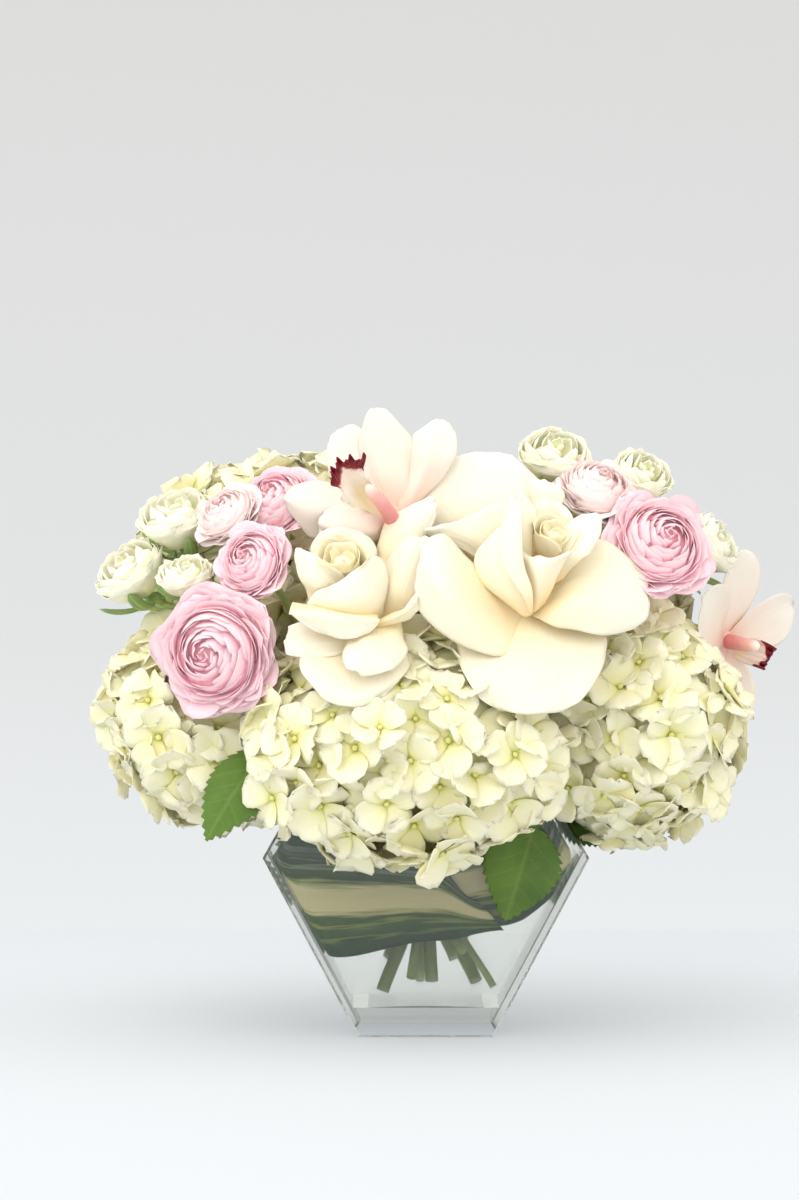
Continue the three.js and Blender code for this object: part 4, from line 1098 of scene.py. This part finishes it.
def within(point, head, share=1.0):
    """Whether a point lies in a head, or in a share of it."""
    at, size = head
    return sum(((p - a) / (s * share)) ** 2 for p, a, s in zip(point, at, size)) < 1


def floret_shapes(random, count, nu, nv):
    """A few different florets: four round petals and a small green eye, each in its own frame."""
    shapes = []
    for _ in range(count):
        shape = Shape()
        open_lean = random.uniform(70, 84)
        for k in range(4):
            turn = 90 * k + random.uniform(-7, 7)
            size = random.uniform(0.92, 1.08)
            lean = (open_lean + random.uniform(-8, 6), open_lean + random.uniform(-16, 10))
            cup = random.choice([13, 18, -24])
            petal(shape, turn, FLORET_LENGTH * size, FLORET_HALF * size, lean, cup, tip=0.25, foot=0.8,
                  rise=0.25 * (k % 2), skew=0.5, curl=random.uniform(-14, 26), wave=0.7, waves=1.5,
                  phase=random.uniform(*PHASES), notch=random.uniform(0, 0.06), thick=0.5, nu=nu, nv=nv)
        ball(shape, (0, 0, 0.9), (1.5, 1.5, 1.2), 4, 6, (0.5, 0.05, 0.5))
        shapes.append(shape)
    return shapes


FLORET_RANDOM = np.random.default_rng(SEEDS["florets"])
FINE_FLORETS = floret_shapes(FLORET_RANDOM, 9, 6, 5)
PLAIN_FLORETS = floret_shapes(FLORET_RANDOM, 7, 4, 3)


def floret_seat(at, size, others, way, out, lift, basis, reach):
    """The outermost seat on a floret's way that is clear of the blooms and the other heads."""
    for share in SEAT_SHARES:
        tip = at + way * size * share + out * lift
        seat = tip - out * FLORET_STALK
        if any(within(tip, other, 0.97) for other in others) or within(tip, CENTRE_ROOM):
            continue
        if clear_of_blooms(seat, at, SEAT_ROOM) and spread_free(seat, basis, reach):
            return seat
    return None


def hydrangea(index, name, head, near):
    """A head of florets that keep clear of the blooms and leaves, on stalks from a bumpy core."""
    random = np.random.default_rng(SEEDS["hydrangea"] + index)
    at, size = np.array(head[0], float), np.array(head[1], float)
    others = [other for key, other in HEADS.items() if key != name]
    surface = 4 * np.pi * (size[0] * size[1] + size[1] * size[2] + size[2] * size[0]) / 3
    count = int(surface / FLORET_AREA)
    shape = Shape()
    for i in range(count):
        height = 1 - (2 * i + 1) / count
        angle = i * np.pi * (3 - math.sqrt(5)) + index
        ring = math.sqrt(1 - height * height)
        way = np.array([ring * math.cos(angle), ring * math.sin(angle), height])
        way = way + random.normal(0, 0.035, 3)
        out = unit(way / size)
        lift = random.uniform(-7.0, -1.0)
        scale = random.uniform(0.84, 1.14) * (LARGE_FLORET if name == LARGE_FLORET_HEAD else 1.0)
        basis = frame_at(out + random.normal(0, 0.24, 3), random.uniform(*PHASES))
        tint = random.uniform(0, 1)
        seat = floret_seat(at, size, others, way, out, lift, basis, FLORET_LENGTH * scale)
        if seat is None:
            continue
        kinds = FINE_FLORETS if near and out[1] < FRONT_FACING else PLAIN_FLORETS
        shape.placed(kinds[i % len(kinds)], basis, seat, scale, tint)
        root = at + (seat - at) * 0.7
        middle = (root + seat) / 2 + random.normal(0, 0.6, 3)
        rod(shape, [root, middle, seat], [1.5, 0.8, 0.6], 4, tint)
    core = np.maximum(size - CORE_DEPTH, 12)

    def fits(place):
        hidden = any(within(place, other, 0.95) for other in others)
        return hidden or clear_of_blooms(place, at, CORE_ROOM)

    def bumps(ways):
        rough = 0.04 * np.sin(9 * ways[:, 0] + index) * np.sin(8 * ways[:, 1]) * np.sin(9 * ways[:, 2] + 2)
        shares = [next((s for s in CORE_SHARES if fits(at + way * core * s)), LEAST_CORE) for way in ways]
        return (1 + rough) * shares

    ball(shape, at, core, 22, 30, (0.5, 0.35, 0.5), bumps)
    shape.finish(f"{name}_florets", HYDRANGEA, "hydrangea", name)


for position, (head_name, head_place) in enumerate(HEADS.items()):
    hydrangea(position, head_name, head_place, head_name in NEAR_HEADS)


# Serrated leaves
TEETH = 13
STEPS_PER_TOOTH = 7
TOOTH_DEPTH = 2.4
SIDE_VEINS = 6.5


def leaf(name, start, end, face, half):
    """A toothed blade that arches from its start to its tip, with a midrib and side veins."""
    start, end = np.array(start, float), np.array(end, float)
    length = np.linalg.norm(end - start)
    along = unit(end - start)
    across = unit(np.cross(along, face))
    out = unit(np.cross(across, along))
    steps = np.linspace(0, 1, TEETH * STEPS_PER_TOOTH + 1)
    t = steps[:, None]
    u = np.linspace(-1, 1, 25)[None, :]
    tooth = (steps * TEETH) % 1.0
    reach = half * np.sin(np.pi * np.minimum(1, steps ** 0.8)) * (1 - 0.15 * steps)
    widths = np.maximum(0.7, reach + TOOTH_DEPTH * tooth * (steps > 0.04) * (steps < 0.97))[:, None]
    x = u * widths
    y = t * length + np.abs(u) ** 2 * 2.0 * (1 - t)
    vein_place = t * length - np.abs(x) * 0.75 + 0.006 * x * x + 1.5 * (u > 0)
    branch = np.abs((vein_place / (length / SIDE_VEINS)) % 1.0 - 0.5) * 2
    side_vein = np.exp(-((1 - branch) / 0.11) ** 2) * (1 - np.abs(u) ** 3)
    midrib = np.exp(-(x / 0.9) ** 2)
    vein = np.clip(np.maximum(side_vein * 0.8, midrib), 0, 1)
    arch = 0.06 * length * np.sin(np.pi * t) - 0.012 * x * x + 0.5 * np.sin(7 * t + 2 * u) * np.abs(u)
    lift = arch - 0.5 * vein
    grid = start + y[..., None] * along + x[..., None] * across + lift[..., None] * out
    shape = Shape()
    blade(shape, grid, 0.7, (u + 1) / 2, t)
    shape.shares[-1][:, 2] = np.tile(vein.reshape(-1), 2)
    shape.finish(f"{name}_blade", LEAF, "leaf", name)


for leaf_name, facts in LEAVES.items():
    leaf(leaf_name, *facts)


# The vase's contents
def half_width(inset, z):
    """Half the vase's width at a height, moved inwards by a wall's thickness."""
    lower = (WAIST_WIDTH - BASE_WIDTH) / 2 / WAIST_Z
    upper = (WAIST_WIDTH - RIM_WIDTH) / 2 / (RIM_Z - WAIST_Z)
    if z < WAIST_Z:
        return BASE_WIDTH / 2 + z * lower - inset * math.hypot(1, lower)
    return WAIST_WIDTH / 2 - (z - WAIST_Z) * upper - inset * math.hypot(1, upper)


def water():
    """The water, a hair into the glass walls so that no film of air shows, and a hair over the floor."""
    inset = WALL - WATER_OVERLAP
    low = FLOOR_Z + WATER_GAP
    waist = min(half_width(inset, WAIST_Z - 0.01), half_width(inset, WAIST_Z + 0.01))
    right = [(half_width(inset, low), low), (waist, WAIST_Z), (half_width(inset, WATER_Z), WATER_Z)]
    outline = right + [(-x, z) for x, z in reversed(right)]
    depth = VASE_DEPTH / 2 - inset
    points = [(x, y, z) for y in (-depth, depth) for x, z in outline]
    count = len(outline)
    i = np.arange(count)
    sides = np.stack([np.roll(i, -1), i, i + count, np.roll(i, -1) + count], axis=-1)
    shape = Shape()
    shape.add(points, [sides, i[None, :], (i[::-1] + count)[None, :]], np.full((2 * count, 3), 0.5))
    shape.finish("water_body", WATER, "water", "water", smooth=False)


def liner_point(place, z, inset):
    """Where a turn's share lies round the inside of the glass at a height."""
    half_x = min(half_width(WALL + inset, z), half_width(WALL + inset, WAIST_Z) - 1) - LINER_CORNER
    half_y = (VASE_DEPTH / 2 - WALL) - inset - LINER_CORNER
    corners = [(half_x, -half_y), (-half_x, -half_y), (-half_x, half_y), (half_x, half_y)]
    share, begun, side = place % 1, 0.0, 0
    while share > LINER_TURNS[side][1]:
        begun = LINER_TURNS[side][1]
        side += 1
    straight, turned = LINER_TURNS[side]
    (x0, y0), (x1, y1) = corners[side], corners[(side + 1) % 4]
    along = min(1, (share - begun) / (straight - begun))
    angle = math.radians(-90 * (side + 1 + max(0, (share - straight) / (turned - straight))))
    x = x0 + (x1 - x0) * along + LINER_CORNER * math.cos(angle)
    return x, y0 + (y1 - y0) * along + LINER_CORNER * math.sin(angle), z


def smooth_step(x, low, high):
    """How far x is from low to high, with a soft start and end."""
    t = held(x, low, high)
    return t * t * (3 - 2 * t)


def along_liner(values, place):
    """One of the liner leaf's edges at a place along its way."""
    k = max(1, min(len(LINER_PLACES) - 1, int(np.searchsorted(LINER_PLACES, place - 1e-9))))
    part = smooth_step(place, LINER_PLACES[k - 1], LINER_PLACES[k])
    return values[k - 1] + (values[k] - values[k - 1]) * part


def liner():
    """The variegated leaf, wound once and a fifth round the inside of the glass."""
    steps, across = 220, 22
    end = LINER_PLACES[-1]
    grid = np.zeros((across + 1, steps + 1, 3))
    for i in range(steps + 1):
        place = end * i / steps
        low, high = along_liner(LINER_LOWER, place), along_liner(LINER_UPPER, place)
        layer = LINER_LAYER * smooth_step(place, 0.76, 0.96)
        for j in range(across + 1):
            v = j / across
            slip = 0.055 * v * max(0, 1 - place / 0.2)
            buckle = 0.25 * math.sin(40 * place + 3 * v)
            inset = LINER_INSET + layer + buckle
            grid[j, i] = liner_point(place + 0.03 + slip, low + (high - low) * v, inset)
    shape = Shape()
    v = np.linspace(0, 1, across + 1)[:, None]
    u = np.linspace(0, 1, steps + 1)[None, :] * end * 8
    blade(shape, grid, 0.7, v, u)
    shape.finish("liner_leaf_blade", LINER, "liner", "liner_leaf")


def under(at, face, depth):
    """The place this far behind a bloom's middle, where its stem starts."""
    return np.array(at, float) - unit(face) * depth


def stem_plan():
    """Each stem's name, upper end and radius, and a spray's short branches."""
    plan = []
    for name, (at, size) in HEADS.items():
        plan.append((name, (at[0] * 0.86, at[1] * 0.86, at[2] - 0.1 * size[2]), HYDRANGEA_STEM, []))
    for kind, depth in ((ROSES, 4), (ORCHIDS, 8)):
        plan += [(name, under(at, face, depth), ROSE_STEM, []) for name, (at, face) in kind.items()]
    for name, (at, face, radius, _) in RANUNCULUS.items():
        plan.append((name, under(at, face, radius * 0.6), THIN_STEM, []))
    for side in ("left", "right", "back"):
        sprays = [facts for name, facts in SPRAY_ROSES.items() if side in name]
        ends = [under(at, face, radius * 0.82) for at, face, radius in sprays]
        middle = sum(ends) / len(ends)
        plan.append((f"spray_{side}", (middle[0] * 0.72, middle[1] * 0.72, middle[2] - 22), THIN_STEM, ends))
    return plan


def stems():
    """Stems that gather at the knot in the vase's neck and cross to their feet in the water."""
    shape = Shape()
    for i, (name, tip, radius, branches) in enumerate(stem_plan()):
        around = math.atan2(tip[1], tip[0])
        way = (math.cos(around), math.sin(around))
        hold = INNER_HOLD if tip[2] > HIGH_TIP_Z else OUTER_HOLD
        knot = (hold * way[0], 0.8 * hold * way[1], KNOT_Z)
        shoulder = (tip[0] * 0.3, tip[1] * 0.26, SHOULDER_Z)
        spread = FOOT_SPREADS[i % 3]
        low = (spread * way[0], spread * way[1], FOOT_Z + 6 * (i % 5))
        if radius <= THIN_STEM:
            low = (0, 0, SHORT_Z)
        foot = SEEN_FEET.get(name, low)
        tint = 0.15 if radius > ROSE_STEM else 0.75
        bundle = (0.3 * foot[0], 0.3 * foot[1], BUNDLE_Z)
        route = [tip, shoulder, knot, bundle, foot] if foot[2] < BUNDLE_Z - 8 else [tip, shoulder, knot, foot]
        rod(shape, smooth_way(route, 12 * (len(route) - 1)), radius, 12, tint)
        for branch in branches:
            sag = (np.array(branch) + tip) / 2 - UP * 2
            rod(shape, smooth_way([branch, sag, tip], 8), radius * 0.8, 8, 0.8)
    shape.finish("stems", STEM, "stem", "stem_bundle")


water()
liner()
stems()
vase = frame["nodes"]["glass_vase"]
vase.data.materials.clear()
vase.data.materials.append(GLASS)


# Table, wall, camera and light
CAMERA_AT = (VIEW_X, -VASE_DEPTH / 2 - VIEW_DISTANCE, VIEW_Z)
FOCAL_LENGTH = 87.5
TABLE_END = 440.0
TABLE_HALF_WIDTH = 3000.0
EDGE_RADIUS = 20.0
EDGE_STEPS = 12
WALL_Y = 2500.0
WALL_HALF_WIDTH = 6000.0
TABLE_PAINT = [(0.0, (0.43, 0.455, 0.485)), (1.0, (0.43, 0.45, 0.475))]
# Painted light: the table glows to lift its shade, brighter towards its front
TABLE_PAINTED_LIGHT = [(0.0, (0.32, 0.335, 0.35)), (0.75, (0.29, 0.305, 0.32)), (1.0, (0.265, 0.28, 0.295))]
WALL_PAINT = [(0.0, (0.45, 0.47, 0.495)), (0.4, (0.44, 0.455, 0.47)), (1.0, (0.44, 0.445, 0.455))]
# Painted light: the wall glows to lift its shade, brighter towards its foot
WALL_PAINTED_LIGHT = [(0.0, (0.20, 0.21, 0.22)), (0.3, (0.145, 0.15, 0.16)), (1.0, (0.11, 0.112, 0.118))]
WINDOW_AT = (-1.1, -1.5, 1.9)
WINDOW_AIM = (0, 0, 0.18)
WINDOW_SIZE = 3.0
WINDOW_POWER = 22
WINDOW_COLOUR = (1.0, 0.99, 0.97)
SKY_COLOUR = (1.0, 0.98, 0.93, 1)
SKY_STRENGTH = 1.36


def stage_material(name, paint, painted_light, place_axis, low, high):
    """Pale paper whose paint and painted light change along one axis between two places, in metres. The
    painted light is an emission glow, no lamp, that lifts the shade on the paper.
    """
    m = Nodes(name)
    place = m.new("ShaderNodeNewGeometry")
    parts = m.new("ShaderNodeSeparateXYZ")
    m.link(place.outputs["Position"], parts.inputs[0])
    share = m.math("DIVIDE", m.math("SUBTRACT", parts.outputs[place_axis], low), high - low, True)
    cloud = m.times(m.noise(1.6, 3.0), 0.08)
    m.paint(m.mix(cloud, m.ramp(share, paint), (0.42, 0.42, 0.42)))
    # Painted light: an emission glow that lifts the shade on the table and wall
    m.link(m.ramp(share, painted_light), m.shader.inputs["Emission Color"])
    set_inputs(m.shader, {"Emission Strength": 1.0})
    m.bump(m.noise(300.0, 4.0), 0.0004, 0.15)
    m.surface(0.8, 0.2)
    return m.material


def stage_sheet(name, profile, wide, material):
    """A sheet drawn sideways from a profile of y and z places."""
    points = [(x, y, z) for y, z in profile for x in (-wide, wide)]
    faces = [(2 * k, 2 * k + 1, 2 * k + 3, 2 * k + 2) for k in range(len(profile) - 1)]
    mesh = bpy.data.meshes.new(name)
    mesh.from_pydata([[c * MM for c in p] for p in points], [], faces)
    for polygon in mesh.polygons:
        polygon.use_smooth = True
    mesh.materials.append(material)
    obj = new_object(name, mesh)


def stage():
    """A table top with a rounded far edge, and a wall far behind it."""
    edge = []
    for k in range(EDGE_STEPS + 1):
        angle = math.pi / 2 * k / EDGE_STEPS
        y = TABLE_END - EDGE_RADIUS + EDGE_RADIUS * math.sin(angle)
        edge.append((y, EDGE_RADIUS * (math.cos(angle) - 1)))
    table = stage_material("table paper", TABLE_PAINT, TABLE_PAINTED_LIGHT, 1, -0.3, 0.42)
    profile = [(-4000.0, 0.0)] + edge + [(TABLE_END, -120.0)]
    stage_sheet("stage_table", profile, TABLE_HALF_WIDTH, table)
    wall = stage_material("wall paper", WALL_PAINT, WALL_PAINTED_LIGHT, 2, -0.23, 1.02)
    stage_sheet("stage_wall", [(WALL_Y, -2500.0), (WALL_Y, 6000.0)], WALL_HALF_WIDTH, wall)


def window_light():
    """Soft light from the upper left, in front."""
    lamp = bpy.data.lights.new("window", "AREA")
    lamp.shape = "DISK"
    lamp.size = WINDOW_SIZE
    lamp.energy = WINDOW_POWER
    lamp.color = WINDOW_COLOUR
    obj = new_object("window", lamp)
    obj.location = WINDOW_AT
    obj.rotation_euler = (Vector(WINDOW_AIM) - Vector(WINDOW_AT)).to_track_quat("-Z", "Y").to_euler()


def camera():
    data = bpy.data.cameras.new("camera")
    data.sensor_width = 36.0
    data.lens = FOCAL_LENGTH
    data.dof.use_dof = False
    obj = new_object("camera", data)
    obj.location = [c * MM for c in CAMERA_AT]
    obj.rotation_euler = (math.radians(90), 0, 0)
    bpy.context.scene.camera = obj


def world():
    sky = bpy.data.worlds.new("soft studio")
    sky.use_nodes = True
    background = sky.node_tree.nodes["Background"]
    set_inputs(background, {"Color": SKY_COLOUR, "Strength": SKY_STRENGTH})
    bpy.context.scene.world = sky
    bpy.context.scene.view_settings.view_transform = "Standard"
    bpy.context.scene.view_settings.look = "None"


stage()
camera()
world()
window_light()
